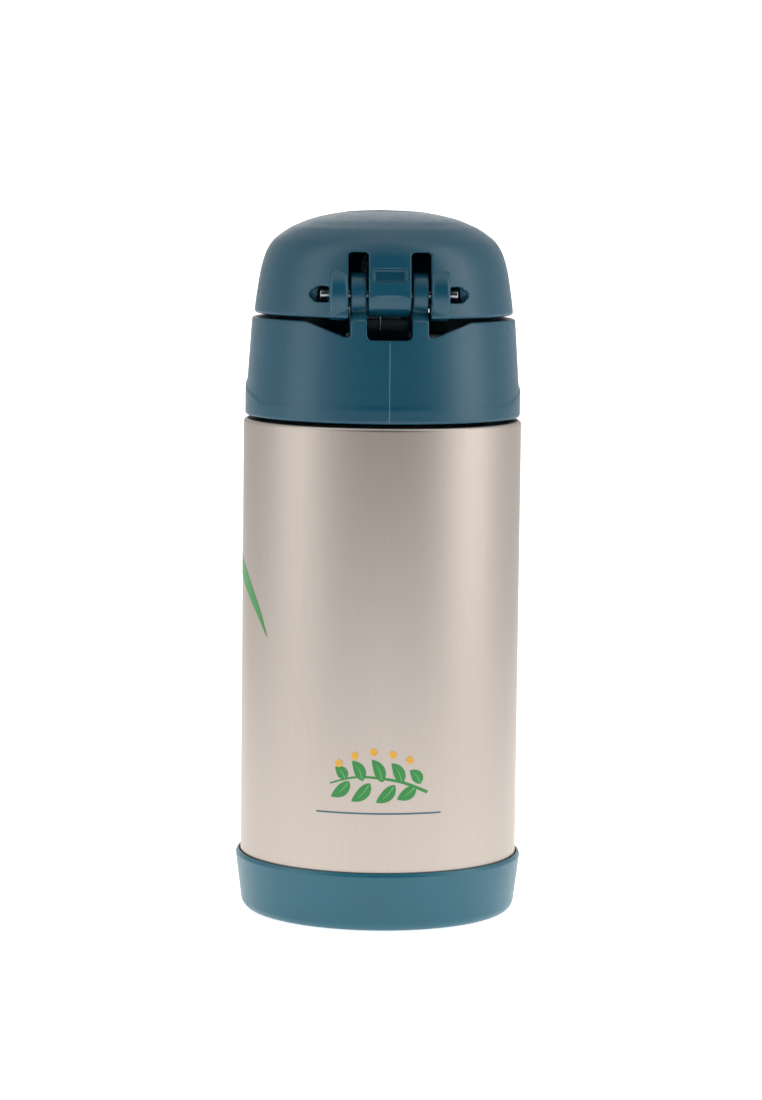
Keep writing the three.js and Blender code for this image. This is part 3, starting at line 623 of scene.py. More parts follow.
def liner():
    inside = LINER_R - SHEET
    lip = NECK_TOP + 0.3
    outline = rounded(
        [
            (0, LINER_FLOOR - SHEET),
            (LINER_R, LINER_FLOOR - SHEET, 5),
            (LINER_R, SHOULDER - 5, 2),
            (MOUTH_R + SHEET, SHOULDER - SHEET - 0.5, 0.8),
            (MOUTH_R + SHEET, lip, 0.1),
            (NECK_R, lip, 0.15),
            (NECK_R, lip + 0.4, 0.2),
            (MOUTH_R, lip + 0.4, 0.35),
            (MOUTH_R, SHOULDER - SHEET - 1, 0.8),
            (inside, SHOULDER - 5.3, 2),
            (inside, LINER_FLOOR, 5),
            (0, LINER_FLOOR),
        ],
        8,
    )
    return finished(lathe("inner_vessel", outline), "bottle", "liner", LINER)


def boot():
    seat = BODY_R + 0.3
    inside = FOOT_R + 0.3
    outline = rounded(
        [
            (0, 0.8),
            (22, 0.8, 0.4),
            (23, 0, 0.4),
            (BOOT_R - 1.8, 0, 3.0),
            (BOOT_R, BOOT_TOP - 0.95, 0.35),
            (BOOT_R - 0.3, BOOT_TOP - 0.1, 0.3),
            (seat + 0.1, BOOT_TOP, 0.1),
            (seat - 0.05, BOOT_TOP - 0.25, 0.1),
            (seat, BOOT_TOP - 0.9),
            (seat, FOOT_STEP - 0.3),
            (inside, FOOT_STEP - 2),
            (inside, 2.3, 0.5),
            (0, 2.3),
        ],
        7,
    )
    body = lathe("foot_boot", outline)
    # A low ring and the moulding gate's dimple, on the recessed underside.
    groove = lathe("tool", rounded([(14, -1), (15, -1), (15, 1.15, 0.3), (14, 1.15, 0.3)]), ROUND)
    gate = lathe("tool", rounded([(0, -1), (2, -1), (2, 1.1, 0.3), (0, 1.1)]), ROUND_SMALL)
    return finished(carved(body, groove, gate), "bottle", "boot", BOOT_BLUE)


# ---------------------------------------------------------------- collar


def collar_radius(z):
    return COLLAR_TOP_R + (COLLAR_TOP - z) * COLLAR_DRAFT


def band_top(angle):
    """Height of the raised band's edge, low across the back and swept up to the button."""
    return float(band_tops(min(angle, 2 * pi - angle)))


def band_tops(angles):
    """The same for an array of angles from the back."""
    rise = np.clip((np.degrees(np.abs(angles)) - BAND_RISE_FROM) / BAND_RISE_OVER, 0, 1)
    return BAND_BACK + (BAND_FRONT - BAND_BACK) * (rise - 0.12 * np.sin(pi * rise) ** 2)


def collar_face(angles, heights):
    """Exact outer radius of the collar, away from its edges."""
    top = band_tops(angles)
    band = np.where((heights > COLLAR_BOTTOM + 0.6) & (heights < top - 0.8), BAND_R, np.nan)
    upper = (heights > top + 0.5) & (heights < COLLAR_TOP - 0.7)
    return np.where(upper, collar_radius(heights), band)


def collar_outline(angle):
    top = band_top(angle)
    return rounded(
        [
            (BAND_R, COLLAR_BOTTOM, 0.45),
            (BAND_R, top - 0.35, 0.25),
            (collar_radius(top), top, 0.2),
            (collar_radius(COLLAR_TOP), COLLAR_TOP, 0.55),
            (RIM_R, COLLAR_TOP, 0.4),
            (RIM_R, DECK_TOP, 0.5),
            (SPOUT_HOLE_R, DECK_TOP, 0.3),
            (SPOUT_HOLE_R, DECK_BOTTOM, 0.2),
            (LID_THREAD_R, DECK_BOTTOM, 0.3),
            (LID_THREAD_R, COLLAR_BOTTOM + 2.7, 0.3),
            (NECK_R + 3, COLLAR_BOTTOM + 2.7, 0.3),
            (NECK_R + 3, DECK_BOTTOM - 1, 0.5),
            (RIM_R + 0.3, DECK_BOTTOM - 1, 0.5),
            (BAND_R - 1.8, COLLAR_BOTTOM, 0.3),
        ],
        4,
    )


def at_vent(obj):
    return changed(obj, lambda x, y, z: (x, y + VENT_Y, z))


def ear():
    """An ear's round head on a stalk whose outer face carries on the collar's own face."""
    head = cross_rod(EAR_R, EAR_IN, EAR_OUT, HINGE_Y, HINGE_Z, 0.35)
    stalk = bar(EAR_IN, EAR_OUT, HINGE_Y - 4.6, FAR, DECK_TOP - 0.5, HINGE_Z)
    face = rounded(
        [
            (10, DECK_TOP - 1),
            (collar_radius(DECK_TOP - 1), DECK_TOP - 1),
            (collar_radius(COLLAR_TOP + 0.4), COLLAR_TOP + 0.4, 0.8),
            (COLLAR_TOP_R - 3.2, HINGE_Z - 4.2, 0.6),
            (COLLAR_TOP_R - 4.5, HINGE_Z),
            (10, HINGE_Z),
        ],
        4,
    )
    return fused(kept_in(stalk, lathe("tool", face)), head)


def collar():
    body = ring("lid_collar", [collar_outline(2 * pi * i / ROUND) for i in range(ROUND)])
    thread = helix_ridge("tool", COLLAR_BOTTOM + 3.7, 1, LID_THREAD_R + 0.2, LID_THREAD_R - THREAD_DEPTH)
    window = rounded([(EAR_IN, WINDOW_Z, 1.4), (EAR_IN, HIGH), (-EAR_IN, HIGH), (-EAR_IN, WINDOW_Z, 1.4)], 6)
    scallop = rounded(
        [
            (EAR_OUT - 0.05, SCALLOP_Z, 0.3),
            (EAR_OUT + 1.6, SCALLOP_Z + 0.1, 1),
            (SCALLOP_OUT, COLLAR_TOP, 4),
            (SCALLOP_OUT + 4, COLLAR_TOP + 3),
            (EAR_OUT - 0.05, COLLAR_TOP + 3),
        ],
        5,
    )
    opening = bar(-BUTTON_HALF - 0.6, BUTTON_HALF + 0.6, -FAR, -29.5, BUTTON_BOTTOM - 0.6, HIGH)
    body = carved(body, back_prism(window, HINGE_Y - 1, FAR), *both_sides(back_prism(scallop, HINGE_Y - 6, FAR)))
    cheek = bar(*BUTTON_CHEEK, BUTTON_Z - 2, BUTTON_Z + 2)
    guards = [bar(*HINGE_GUARD), bar(*BUTTON_GUARD)]
    body = fused(body, thread, *both_sides(ear()), *both_sides(cheek), *guards)
    low, high = DECK_BOTTOM - 2, DECK_TOP + 2
    vent = lathe("tool", [(0, low), (VENT_HOLE_R, low), (VENT_HOLE_R, high), (0, high)], 48)
    body = carved(
        body,
        opening,
        cross_rod(BUTTON_PIN_R + 0.1, -BUTTON_PIN_HALF - 0.2, BUTTON_PIN_HALF + 0.2, BUTTON_Y, BUTTON_Z),
        cross_rod(PIN_R + EYE, -20, 20, HINGE_Y, HINGE_Z),
        at_vent(vent),
    )
    return finished(trued(moulded(body), collar_face), "lid", "collar", BLUE)


# ---------------------------------------------------------------- cover

# (radius, height above the cover's foot)
DOME = [(COVER_R, 0.5), (31.95, 3.6), (31.2, 8.6), (30.75, 11), (30.1, 13.5), (29.1, 16), (27.3, 18.5)]
DOME += [(23.9, 21), (21.5, 22.2), (18.2, 23.5), (13.3, 24.7), (7, 25.6), (0, 25.9)]
DOME_INSIDE = [(0, 23.5), (13, 22.7), (20.6, 20.6), (25.6, 17.6), (28.2, 13), (29.4, 8.4)]
DOME_INSIDE += [(COVER_R - COVER_WALL, 0)]


def above_foot(outline):
    """An outline whose heights are counted from the cover's foot."""
    return [(across, COVER_BOTTOM + z) for across, z in outline]


def front_block(half):
    """What lies in front, within half a width: it cuts slices out of rings."""
    return bar(-half, half, -FAR, -20, 100, HIGH)


def trued_dome(obj):
    """Draws the cover's outer face back onto the exact dome, square to its outline."""
    line = np.array(above_foot(smooth_line(DOME, 16)))
    start, span = line[:-1], np.diff(line, axis=0)
    length = (span**2).sum(axis=1)
    points = points_of(obj)
    radius = np.hypot(points[:, 0], points[:, 1])
    near = np.flatnonzero((points[:, 2] > COVER_BOTTOM + 0.7) & (radius > 0.5))
    for some in np.array_split(near, 1 + len(near) // 20000):
        here = np.column_stack((radius[some], points[some, 2]))
        t = np.clip(((here[:, None, :] - start) * span).sum(axis=2) / length, 0, 1)
        gap = start + t[..., None] * span - here[:, None, :]
        off = np.hypot(gap[..., 0], gap[..., 1])
        best = np.arange(len(some)), off.argmin(axis=1)
        move = gap[best] * pull(off[best])[:, None]
        points[some, :2] *= (1 + move[:, 0] / radius[some])[:, None]
        points[some, 2] += move[:, 1]
    return with_points(obj, points)


def cover():
    outline = [(COVER_R - 0.4, 0)] + smooth_line(DOME, 5) + smooth_line(DOME_INSIDE, 5)
    body = lathe("lid_cover", above_foot(outline))
    middle = cross_rod(EAR_R, -CENTRE_HALF, CENTRE_HALF, HINGE_Y, HINGE_Z, 0.3)
    lip = rounded([(COVER_R - 1, 0), (THUMB_LIP_R, 0, 0.6), (THUMB_LIP_R, 2.2, 1.2), (31.2, 7)])
    lip = kept_in(lathe("tool", above_foot(lip)), front_block(THUMB_LIP_HALF))
    # A rib on each side presses the spout down as the cover shuts.
    rib = side_prism(above_foot([(-22.5, 17.7), (-12, 12.7), (-12, 23.2), (-22.5, 19.8)]), 2.6, 3.8)
    under = carved(
        bar(-CENTRE_HALF - 0.1, CENTRE_HALF + 0.1, HINGE_Y - 7, FAR, COVER_BOTTOM - 9, HINGE_Z - 0.1),
        cross_rod(KNUCKLE_R, -FAR, FAR, HINGE_Y, HINGE_Z),
    )
    slot = rounded(
        [(CENTRE_HALF, 140), (CAP_IN, 140), (CAP_IN, SLOT_TOP, 0.9), (CENTRE_HALF, SLOT_TOP, 0.9)], 5
    )
    cap = cross_rod(KNUCKLE_R, CAP_IN, CAP_OUT, HINGE_Y, HINGE_Z, 0.9)
    notch = side_prism(above_foot([(30.0, 8.9), (FAR, 8.9), (FAR, 12), (29.3, 12)]), -4, 4)
    # The D-shaped recess in which the pin's end shows, from the outer knuckle outwards.
    recess = [(0, -1.95), (3.4, -1.9, 1.6), (5.3, 0.1, 1.2), (2.6, 1.95, 2), (0, 1.95)]
    recess = rounded([(CAP_OUT + x, HINGE_Z + z, *rounding) for x, z, *rounding in recess], 5)
    pocket = bar(-HOOK_HALF - 0.6, HOOK_HALF + 0.6, -32, -28, COVER_BOTTOM - 1, HOOK_TOP + 0.8)
    dish = above_foot(rounded([(0, 24.9), (9.6, 24.9, 0.3), (10.4, 26.9), (0, 26.9)]))
    dish = lathe("tool", dish, ROUND_SMALL)
    room = 2.6  # half of the room that the torsion spring has along the pin
    spring_room = cross_rod(3, -room, room, HINGE_Y, HINGE_Z)
    upper_leg = bar(-room, -1.0, 26.2, 28, HINGE_Z, HINGE_Z + 7)
    lower_leg = bar(1.0, room, 15, HINGE_Y, HINGE_Z - 4, HINGE_Z - 1)
    body = fused(body, middle, lip, *both_sides(rib))
    body = carved(body, under, *both_sides(back_prism(slot, 12, FAR)))
    body = fused(body, *both_sides(cap))
    body = carved(
        body,
        notch,
        changed(dish, lambda x, y, z: (x, 0.7 * y, z)),
        *both_sides(back_prism(recess, HINGE_Y - 0.6, FAR)),
        pocket,
        spring_room,
        upper_leg,
        lower_leg,
        cross_rod(PIN_R + EYE, -PIN_HALF - 0.4, PIN_HALF + 0.4, HINGE_Y, HINGE_Z),
    )
    return finished(trued_dome(moulded(body)), "cover", "cover", BLUE)


def hinge_pin():
    pin = cross_rod(PIN_R, -PIN_HALF, PIN_HALF, HINGE_Y, HINGE_Z, 0.3, 48)
    pin.name = "hinge_pin_rod"
    return finished(pin, "cover", "hinge_pin", WIRE)


def hinge_spring():
    """A torsion spring on the hinge pin: one leg reaches up into the cover, the other down to the deck."""
    coil_r, half, turns, per_turn = 2.1, 1.8, 3.25, 40
    steps = round(turns * per_turn)
    coil = [
        (
            -half + 2 * half * i / steps,
            HINGE_Y + coil_r * cos(2 * pi * i / per_turn),
            HINGE_Z - coil_r * sin(2 * pi * i / per_turn),
        )
        for i in range(steps + 1)
    ]
    upper = [(-half, HINGE_Y + coil_r, HINGE_Z + rise) for rise in (7, 4, 1.5)]
    lower = [
        (half, HINGE_Y - 2.5, HINGE_Z - coil_r),
        (half, HINGE_Y - 4.4, HINGE_Z - coil_r - 0.8),
        (half, HINGE_Y - 5, HINGE_Z - coil_r - 3),
        (half, HINGE_Y - 5, DECK_TOP + 0.4),
    ]
    spring = tube("cover_spring", smooth_line([*upper, *coil, *lower], 2), 0.32)
    return bending(spring, "hinge_spring", WIRE)


# ---------------------------------------------------------------- push button


def button():
    pad = lathe(
        "push_button",
        rounded(
            [
                (BUTTON_IN_R, BUTTON_BOTTOM, 0.3),
                (34.3, BUTTON_BOTTOM, 0.6),
                (BUTTON_OUT_R, BUTTON_BOTTOM + 1.2, 0.8),
                (BUTTON_OUT_R, BUTTON_TOP - 5, 3),
                (33.4, BUTTON_TOP, 0.6),
                (BUTTON_IN_R, BUTTON_TOP, 0.3),
            ]
        ),
        360,
    )
    pad = kept_in(pad, front_block(BUTTON_HALF))
    boss = cross_rod(BUTTON_BOSS_R, -BUTTON_BOSS_HALF, BUTTON_BOSS_HALF, BUTTON_Y, BUTTON_Z)
    web = bar(-BUTTON_BOSS_HALF, BUTTON_BOSS_HALF, -31, BUTTON_Y, BUTTON_Z, BUTTON_BOTTOM + 2)
    arm = side_prism(
        [
            (HOOK_OUT, BUTTON_TOP - 0.2),
            (HOOK_SLOT, BUTTON_TOP + 0.6),
            (HOOK_SLOT, HOOK_TOP - 1.6),
            (HOOK_NOSE, HOOK_TOP - 1.6),
            (HOOK_NOSE, HOOK_TOP - 1),
            (HOOK_NOSE + 1.2, HOOK_TOP),
            (HOOK_IN, HOOK_TOP),
            (HOOK_IN, BUTTON_TOP + 0.2),
            (HOOK_IN - 1.5, BUTTON_TOP - 2),
            (HOOK_OUT, BUTTON_TOP - 2),
        ][::-1],
        -HOOK_HALF,
        HOOK_HALF,
    )
    hole = cross_rod(BUTTON_PIN_R + 0.1, -FAR, FAR, BUTTON_Y, BUTTON_Z)
    grips = []
    for rise in (5.2, 7.4, 9.6):
        z = BUTTON_BOTTOM + rise
        outline = [(34, z - 0.5), (35.3, z - 0.35, 0.3), (35.3, z + 0.35, 0.3), (34, z + 0.5)]
        grip = lathe("tool", rounded(outline), 360)
        grips.append(kept_in(grip, front_block(4.6)))
    body = carved(fused(pad, boss, web, arm, *grips), hole)
    return finished(moulded(body, 0.22), "button", "button", BLUE)


def button_pin():
    pin = cross_rod(BUTTON_PIN_R, -BUTTON_PIN_HALF, BUTTON_PIN_HALF, BUTTON_Y, BUTTON_Z, 0.2, 48)
    pin.name = "button_pin_rod"
    return finished(pin, "lid", "button_pin", WIRE)


def button_spring():
    low, high = box_mm("button_spring")
    middle_z = (low[2] + high[2]) / 2
    coil_r, wire, turns, per_turn = 1.7, 0.22, 4, 36
    steps = turns * per_turn
    path = [
        (
            coil_r * cos(2 * pi * i / per_turn),
            low[1] + 0.25 + (high[1] - low[1] - 0.5) * i / steps,
            middle_z + coil_r * sin(2 * pi * i / per_turn),
        )
        for i in range(steps + 1)
    ]
    coil = finished(tube("button_coil", path, wire, 12), "lid", "button_spring", WIRE)
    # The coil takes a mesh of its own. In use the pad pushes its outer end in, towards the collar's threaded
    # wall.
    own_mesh(coil)


# ---------------------------------------------------------------- spout, straw and seals

NIPPLE_BOTTOM = 128
BEND_R = 6.2  # radius of the spout's fold, along its middle line


def spout_base():
    """The foot of the spout's moulding: the nipple that holds the straw, and the flanges that grip the deck."""
    bore = STRAW_R + 0.12
    outline = rounded(
        [
            (bore, NIPPLE_BOTTOM, 0.2),
            (4.3, NIPPLE_BOTTOM, 0.5),
            (4.5, DECK_BOTTOM - 2.2, 0.4),
            (8.4, DECK_BOTTOM - 1.8, 0.3),
            (8.6, DECK_BOTTOM - 0.3, 0.3),
            (6.7, DECK_BOTTOM - 0.3, 0.1),
            (6.7, DECK_TOP + 0.3, 0.1),
            (9.6, DECK_TOP + 0.3, 0.3),
            (9.2, DECK_TOP + 1.5, 0.6),
            (6.6, DECK_TOP + 1.9, 1.5),
            (5.0, DECK_TOP + 3.1, 0.6),
            (4.3, DECK_TOP + 3.1, 0.2),
            (4.3, STRAW_TOP + 1),
            (bore, STRAW_TOP + 0.6, 0.1),
        ],
        6,
    )
    return finished(lathe("spout_foot", outline, ROUND_SMALL), "lid", "spout_stem", SILICONE)


def spout():
    """The spout above its foot, folded forward at rest."""
    reach = BEND_R * tan(SPOUT_FOLD / 2)
    bend_start = SPOUT_Z - reach
    arc = BEND_R * SPOUT_FOLD
    tip = SPOUT_LENGTH - reach + arc + bend_start  # height of the tip on the unbent spout
    outline = rounded(
        [
            (2.2, STRAW_TOP + 1.3, 0.2),
            (4.25, STRAW_TOP + 1.3, 0.2),
            (4.25, bend_start + arc, 1.5),
            (5.0, bend_start + arc + 5, 4),
            (4.7, tip - 12, 6),
            (4.3, tip - 4.2, 2),
            (4.95, tip - 2.4, 1),
            (4.6, tip, 1.2),
            (2.2, tip, 0.5),
        ],
        6,
    )
    fine = []
    for (r0, z0), (r1, z1) in zip(outline, outline[1:] + outline[:1]):
        pieces = max(1, round(hypot(r1 - r0, z1 - z0) / 0.7))
        fine += [(r0 + (r1 - r0) * k / pieces, z0 + (z1 - z0) * k / pieces) for k in range(pieces)]

    def folded(x, y, z):
        if z <= bend_start:
            return x, y, z
        angle = min((z - bend_start) / BEND_R, SPOUT_FOLD)
        past = max(z - bend_start - arc, 0)
        out = BEND_R + y
        return (
            x,
            out * cos(angle) - BEND_R - past * sin(angle),
            bend_start + out * sin(angle) + past * cos(angle),
        )

    body = changed(lathe("silicone_spout", fine, ROUND_SMALL), folded)
    return bending(body, "spout_tip", SILICONE)


def straw():
    bore = STRAW_R - 0.7
    outline = [(bore, STRAW_BOTTOM), (STRAW_R, STRAW_BOTTOM, 0.15), (STRAW_R, STRAW_TOP, 0.15), (bore, STRAW_TOP)]
    wall = lathe("straw_tube", rounded(outline, 3), ROUND_SMALL)
    return finished(wall, "straw", "straw", STRAW)


def mouth_gasket():
    seat = GASKET_BOTTOM + 1.2
    outline = rounded(
        [
            (MOUTH_R - 0.9, GASKET_BOTTOM, 0.1),
            (MOUTH_R - 0.4, GASKET_BOTTOM, 0.2),
            (MOUTH_R - 0.3, seat, 0.1),
            (NECK_R + 0.1, seat, 0.3),
            (NECK_R + 0.1, DECK_BOTTOM - 0.2, 0.3),
            (MOUTH_R - 1.3, DECK_BOTTOM - 0.2, 0.3),
        ],
        4,
    )
    return finished(lathe("mouth_seal", outline), "lid_seal", "mouth_gasket", SILICONE)


def vent_valve():
    outline = rounded(
        [
            (0, DECK_BOTTOM - 2),
            (0.8, DECK_BOTTOM - 2, 0.3),
            (2.3, DECK_BOTTOM - 0.9, 0.3),
            (2.3, DECK_BOTTOM - 0.3, 0.1),
            (1.3, DECK_BOTTOM - 0.3, 0.1),
            (1.3, DECK_TOP + 0.3, 0.1),
            (3.4, DECK_TOP + 0.3, 0.2),
            (3.0, DECK_TOP + 0.9, 0.6),
            (0, DECK_TOP + 1.3),
        ],
        4,
    )
    return finished(at_vent(lathe("vent_plug", outline, 64)), "lid", "vent_valve", SILICONE)


# ---------------------------------------------------------------- parting line and prints


def parting_line():
    """The fine raised line that the mould's two halves leave down the back of the collar. Its lighter blue is a
    painted highlight along the ridge.
    """
    low, high, out = COLLAR_BOTTOM + 0.35, WINDOW_Z - 0.25, 0.06
    step = BAND_BACK + 0.2
    face = [(BAND_R, low), (BAND_R, step - 0.7), (collar_radius(step), step), (collar_radius(high), high)]
    outline = [(r + out, z) for r, z in face] + [(r - 0.4, z) for r, z in face[::-1]]
    line = side_prism(outline, -0.13, 0.13)
    line.name = "collar_parting_line"
    bevel = line.modifiers.new("bevel", "BEVEL")
    bevel.width, bevel.segments = 0.05 * MM, 2
    settle(line)
    return finished(line, "lid", None, PARTING_LINE_HIGHLIGHT_BLUE)


def evenly(spine, step):
    """Points about a step apart along a smooth curve through the spine."""
    fine = [Vector(p) for p in smooth_line(spine, 40)]
    lengths = [0.0]
    for a, b in zip(fine, fine[1:]):
        lengths.append(lengths[-1] + (b - a).length)
    count = max(12, round(lengths[-1] / step))
    points, j = [], 0
    for i in range(count + 1):
        goal = lengths[-1] * i / count
        while j < len(fine) - 2 and lengths[j + 1] < goal:
            j += 1
        t = (goal - lengths[j]) / (lengths[j + 1] - lengths[j])
        points.append(fine[j].lerp(fine[j + 1], t))
    return points


class Print:
    """Flat inked shapes wrapped round the steel: places are (degrees from the back towards +X, height)."""

    def __init__(self, name, material, lift):
        self.name, self.material, self.lift = name, material, lift
        self.points, self.faces = [], []

    def shape(self, spine, half_width, across=8):
        """A blade along the spine: half_width(t) gives its half width from t = 0, its root, to t = 1, its tip."""
        curve = evenly([(radians(a) * BODY_R, z) for a, z in spine], 0.6)
        first, count = len(self.points), len(curve)
        for i, p in enumerate(curve):
            along = (curve[min(i + 1, count - 1)] - curve[max(i - 1, 0)]).normalized()
            side = Vector((-along[1], along[0]))
            width = max(half_width(i / (count - 1)), 0.02)
            for k in range(across + 1):
                u, z = p + side * width * (2 * k / across - 1)
                for out in (self.lift, self.lift - 0.04):
                    r = BODY_R + out
                    self.points.append((r * sin(u / BODY_R), r * cos(u / BODY_R), z))
        row = 2 * (across + 1)

        def at(i, k, layer):
            return first + row * i + 2 * k + layer

        last = count - 1
        for i in range(last):
            for k in range(across):
                self.faces.append((at(i, k, 0), at(i + 1, k, 0), at(i + 1, k + 1, 0), at(i, k + 1, 0)))
                self.faces.append((at(i, k, 1), at(i, k + 1, 1), at(i + 1, k + 1, 1), at(i + 1, k, 1)))
            self.faces.append((at(i, 0, 0), at(i, 0, 1), at(i + 1, 0, 1), at(i + 1, 0, 0)))
            self.faces.append((at(i, across, 0), at(i + 1, across, 0), at(i + 1, across, 1), at(i, across, 1)))
        for k in range(across):
            self.faces.append((at(0, k, 0), at(0, k + 1, 0), at(0, k + 1, 1), at(0, k, 1)))
            self.faces.append((at(last, k, 0), at(last, k, 1), at(last, k + 1, 1), at(last, k + 1, 0)))

    def dot(self, angle, z, radius):
        reach = degrees(radius / BODY_R)
        ends = [(angle - reach, z), (angle + reach, z)]
        self.shape(ends, lambda t: radius * max(0, 1 - (2 * t - 1) ** 2) ** 0.5)

    def done(self):
        piece = made(self.name, self.points, self.faces)
        piece.data.validate()
        return finished(piece, "bottle", None, self.material, smooth=False)


def leaf_width(widest):
    return lambda t: widest * sin(pi * t**0.85) ** 0.8


def prints():
    """A sprig with berries on the back, and a tall plant that starts at the front and reaches round the sides."""
    leaves = Print("print_leaves", GREEN, 0.06)
    veins = Print("print_veins", PALE_GREEN, 0.09)
    berries = Print("print_berries", YELLOW, 0.11)
    rule = Print("print_rule", SLATE, 0.05)

    def leaf(spine, widest):
        leaves.shape(spine, leaf_width(widest))
        inner = smooth_line(spine, 8)
        veins.shape(inner[2 : len(inner) - 5 : 3], lambda t: 0.16 * (1 - 0.7 * t), 2)

    def side_leaf(angle, root, bend, reach, rise, widest):
        leaf([(angle, root), (angle + bend, root + 0.6 * rise), (angle + reach, root + rise)], widest)

    middle, base = 2.6, 38.2
    twig = [(-20, -3.4), (-8, -0.6), (8, 0.4), (20, -1.4)]
    leaves.shape([(middle + a, base + z) for a, z in twig], lambda t: 0.42 * (1 - 0.5 * t))
    for along, rise in ((-15, -3.2), (-6.5, -4.4), (3.5, -4.6), (12, -4.0)):
        side_leaf(middle + along, base - 1.2 + 0.04 * along, 3.2, 7.6, rise, 1.5)
    for along, rise in ((-17, 3.4), (-9.5, 5.0), (-1.5, 5.6), (6.5, 5.0), (13.5, 3.0)):
        side_leaf(middle + along, base - 0.8 + 0.03 * along, 1.6, 4.4, rise, 1.45)
    for along, rise in ((-12.6, 4.6), (-5.6, 6.0), (2.2, 6.6), (9.8, 5.6), (16.4, 3.6)):
        berries.dot(middle + along, base + rise, 0.95)
    rule_z, rule_half = 29.6, 26
    rule.shape([(middle + a, rule_z) for a in (-rule_half, 0, rule_half)], lambda t: 0.22, 2)

    # The tall plant: a stem up the front, and arching blades to both sides.
    leaves.shape([(180, 26), (178, 50), (181, 78), (179, 101)], lambda t: 1.1 * (1 - 0.6 * t))
    leaf([(178, 44), (140, 72), (108, 87), (84, 86.2), (66, 78.8), (56, 71)], 3.6)
    leaf([(178, 34), (150, 48), (126, 50), (108, 43)], 3.6)
    leaf([(181, 40), (208, 58), (232, 62), (250, 54)], 3.9)
    leaf([(180, 58), (204, 82), (228, 90), (250, 86)], 3.9)
    leaf([(180, 70), (164, 88), (150, 97), (136, 101)], 3.2)
    leaf([(180, 78), (194, 96), (204, 104), (216, 108)], 3.0)
    leaf([(179, 84), (181, 98), (178, 112)], 2.6)
    for angle, z in ((170, 62), (190, 66), (166, 78), (193, 80), (172, 92), (188, 93)):
        berries.dot(angle, z, 1.7)
    for layer in (leaves, veins, berries, rule):
        layer.done()

# ---------------------------------------------------------------- making the object

outer_shell()
liner()
boot()
collar()
cover()
hinge_pin()
hinge_spring()
button()
button_pin()
button_spring()
spout_base()
spout()
straw()
mouth_gasket()
vent_valve()
parting_line()
prints()

for node, material in (("shell_base", LINER), ("vacuum_seal", glass_solder()), ("getter", sintered_metal())):
    for holder in frame["nodes"][node].material_slots:
        holder.material = material

# ---------------------------------------------------------------- floor, light and camera

CAMERA_AWAY, CAMERA_HEIGHT = 0.963, 0.1928
CAMERA_AZIMUTH = radians(2.8)  # measured from the back, towards +X
CAMERA_DOWN = radians(6.05)
CAMERA_ROLL = radians(0.67)


def floor():
    """A pale sweep with a painted glow: a table under the object, curved up behind it."""
    half, front, back, turn, height = 1.6, 1.2, -2.2, 0.8, 3.0
    line = [(front, 0)]
    line += [(back - turn * sin(a), turn - turn * cos(a)) for a in [radians(90 * k / 16) for k in range(17)]]
    line.append((back - turn, height))
    points = [(x, y, z) for y, z in line for x in (-half, half)]
    faces = [(2 * i, 2 * i + 2, 2 * i + 3, 2 * i + 1) for i in range(len(line) - 1)]
    mesh = bpy.data.meshes.new("floor_sweep")
    mesh.from_pydata(points, [], faces)
    sweep = bpy.data.objects.new("floor_sweep", mesh)
    bpy.context.scene.collection.objects.link(sweep)
    mesh.shade_smooth()
    look = new_look("pale_floor_painted_glow")
    # The table glows with painted light, most of all under the object: a painted pool of light, with no lamp
    # below it.
    where = look.node("TexCoord", "Object", {})
    under = look.ranged(look.node("VectorMath", "Value", {0: where}, operation="LENGTH"), 0.12, 0.6, 0.8, 0.22)
    # Straight behind the object the painted glow is bright all the way to the sweep, in a band that widens as it
    # goes.
    aside = look.math("ABSOLUTE", look.part(where, "X"))
    behind = look.ranged(look.math("MULTIPLY_ADD", look.part(where, "Y"), 0.12, aside), 0.13, 0.42, 0.8, 0.0)
    base = look.mixed(look.noise(0.002), (0.93, 0.93, 0.93), (0.95, 0.95, 0.95))
    # The emission is painted light: the floor glows though it is no lamp.
    painted_floor_glow = {"Emission_Color": (1, 1, 1, 1), "Emission_Strength": look.math("MAXIMUM", behind, under)}
    mesh.materials.append(look.surface(base, 0.9, Specular_IOR_Level=0.1, **painted_floor_glow))


def softbox(name, place, aim, size, radiance):
    light = bpy.data.lights.new(name, "AREA")
    light.shape, light.size, light.size_y = "RECTANGLE", *size
    light.energy = radiance * pi * size[0] * size[1]
    lamp = bpy.data.objects.new(name, light)
    lamp.location = place
    lamp.rotation_mode = "QUATERNION"
    lamp.rotation_quaternion = (Vector(aim) - Vector(place)).to_track_quat("-Z", "Y")
    lamp.visible_camera = False
    bpy.context.scene.collection.objects.link(lamp)


def strips():
    """Upright softboxes on the floor at both sides, a little to the camera's side."""
    for name, side, radiance in (("left", 1, 1.3), ("right", -1, 1.8)):
        angle, away, height = radians(73), 0.68, 1.1
        place = (side * away * sin(angle), away * cos(angle), height / 2)
        softbox("strip_" + name, place, (0, 0, height / 2), (0.34, height), radiance)


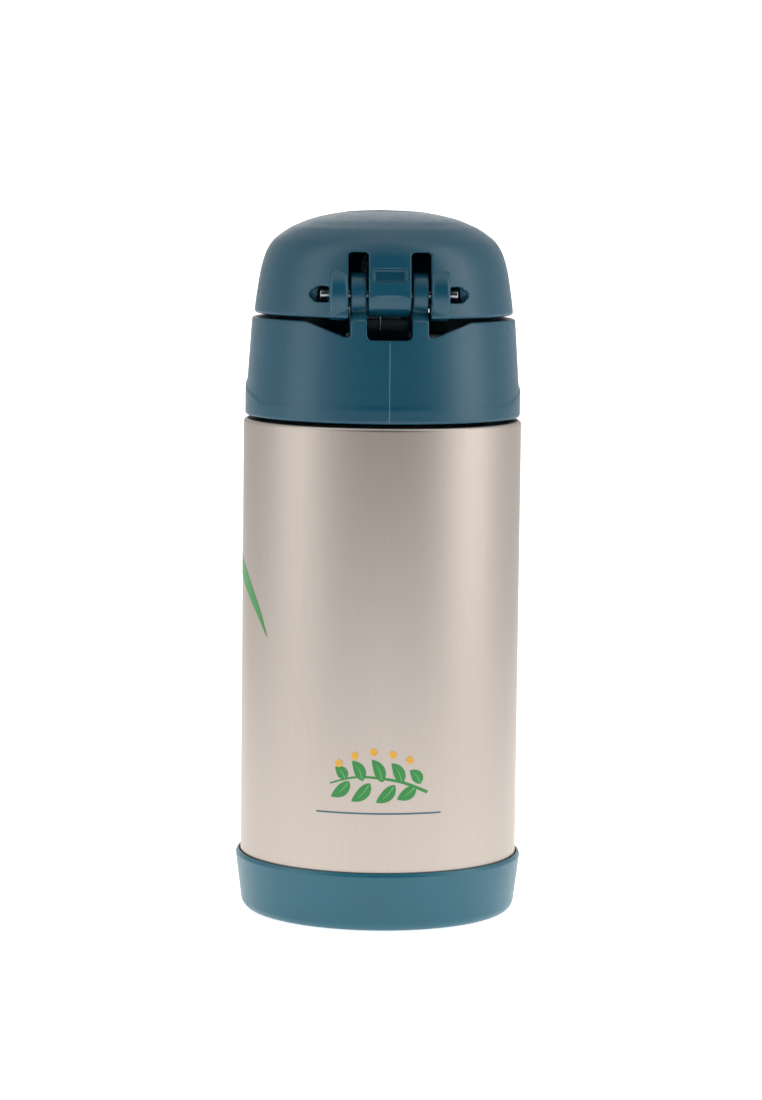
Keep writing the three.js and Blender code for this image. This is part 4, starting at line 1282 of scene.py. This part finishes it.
def surroundings():
    """A pale room, dimmer behind the camera than at the sides."""
    world = bpy.data.worlds.new("studio")
    look = Look(world)
    room, output = look.nodes["Background"], look.nodes["World Output"]
    where = look.node("TexCoord", "Generated", {})
    azimuth = look.math("ARCTAN2", look.part(where, "X"), look.part(where, "Y"))
    shade = look.node("ValToRGB", "Color", {"Fac": look.ranged(azimuth, -pi, pi, 0, 1)})
    # (degrees from the back towards +X, brightness)
    stops = [(-180, 1.0), (-150, 0.6), (-118, 0.6), (-90, 0.8), (-70, 0.95), (-58, 0.9), (-44, 0.4), (-28, 0.04)]
    stops += [(0, 0.0), (16, 0.02), (30, 0.2), (46, 0.6), (66, 0.75), (90, 0.7), (118, 0.55), (150, 0.6)]
    stops += [(180, 1.0)]
    ramp = shade.node.color_ramp
    while len(ramp.elements) < len(stops):
        ramp.elements.new(0.5)
    for element, (angle, grey) in zip(ramp.elements, stops):
        element.position = (angle + 180) / 360
        element.color = (grey, grey, grey, 1)
    look.put(room, {"Color": shade})
    # Whatever the lights do, the room itself looks white.
    white = look.node("Background", "Background", {"Color": (1, 1, 1, 1)})
    seen = look.node("LightPath", "Is Camera Ray", {})
    either = look.node("MixShader", "Shader", {"Fac": seen, 1: room.outputs["Background"], 2: white})
    look.put(output, {"Surface": either})
    bpy.context.scene.world = world


def camera():
    data = bpy.data.cameras.new("camera")
    data.lens, data.sensor_width, data.sensor_fit = 126.0, 36.0, "AUTO"
    data.clip_start, data.clip_end = 0.05, 50
    eye = bpy.data.objects.new("camera", data)
    eye.location = (CAMERA_AWAY * sin(CAMERA_AZIMUTH), CAMERA_AWAY * cos(CAMERA_AZIMUTH), CAMERA_HEIGHT)
    look = Matrix.Rotation(pi - CAMERA_AZIMUTH, 4, "Z") @ Matrix.Rotation(pi / 2 - CAMERA_DOWN, 4, "X")
    eye.rotation_mode = "QUATERNION"
    eye.rotation_quaternion = (look @ Matrix.Rotation(CAMERA_ROLL, 4, "Z")).to_quaternion()
    bpy.context.scene.collection.objects.link(eye)
    bpy.context.scene.camera = eye


floor()
surroundings()
softbox("overhead", (0.0, 0.3, 1.3), (0, 0, 0.1), (1.4, 1.0), 0.6)
strips()
camera()
bpy.context.scene.view_settings.view_transform = "Standard"
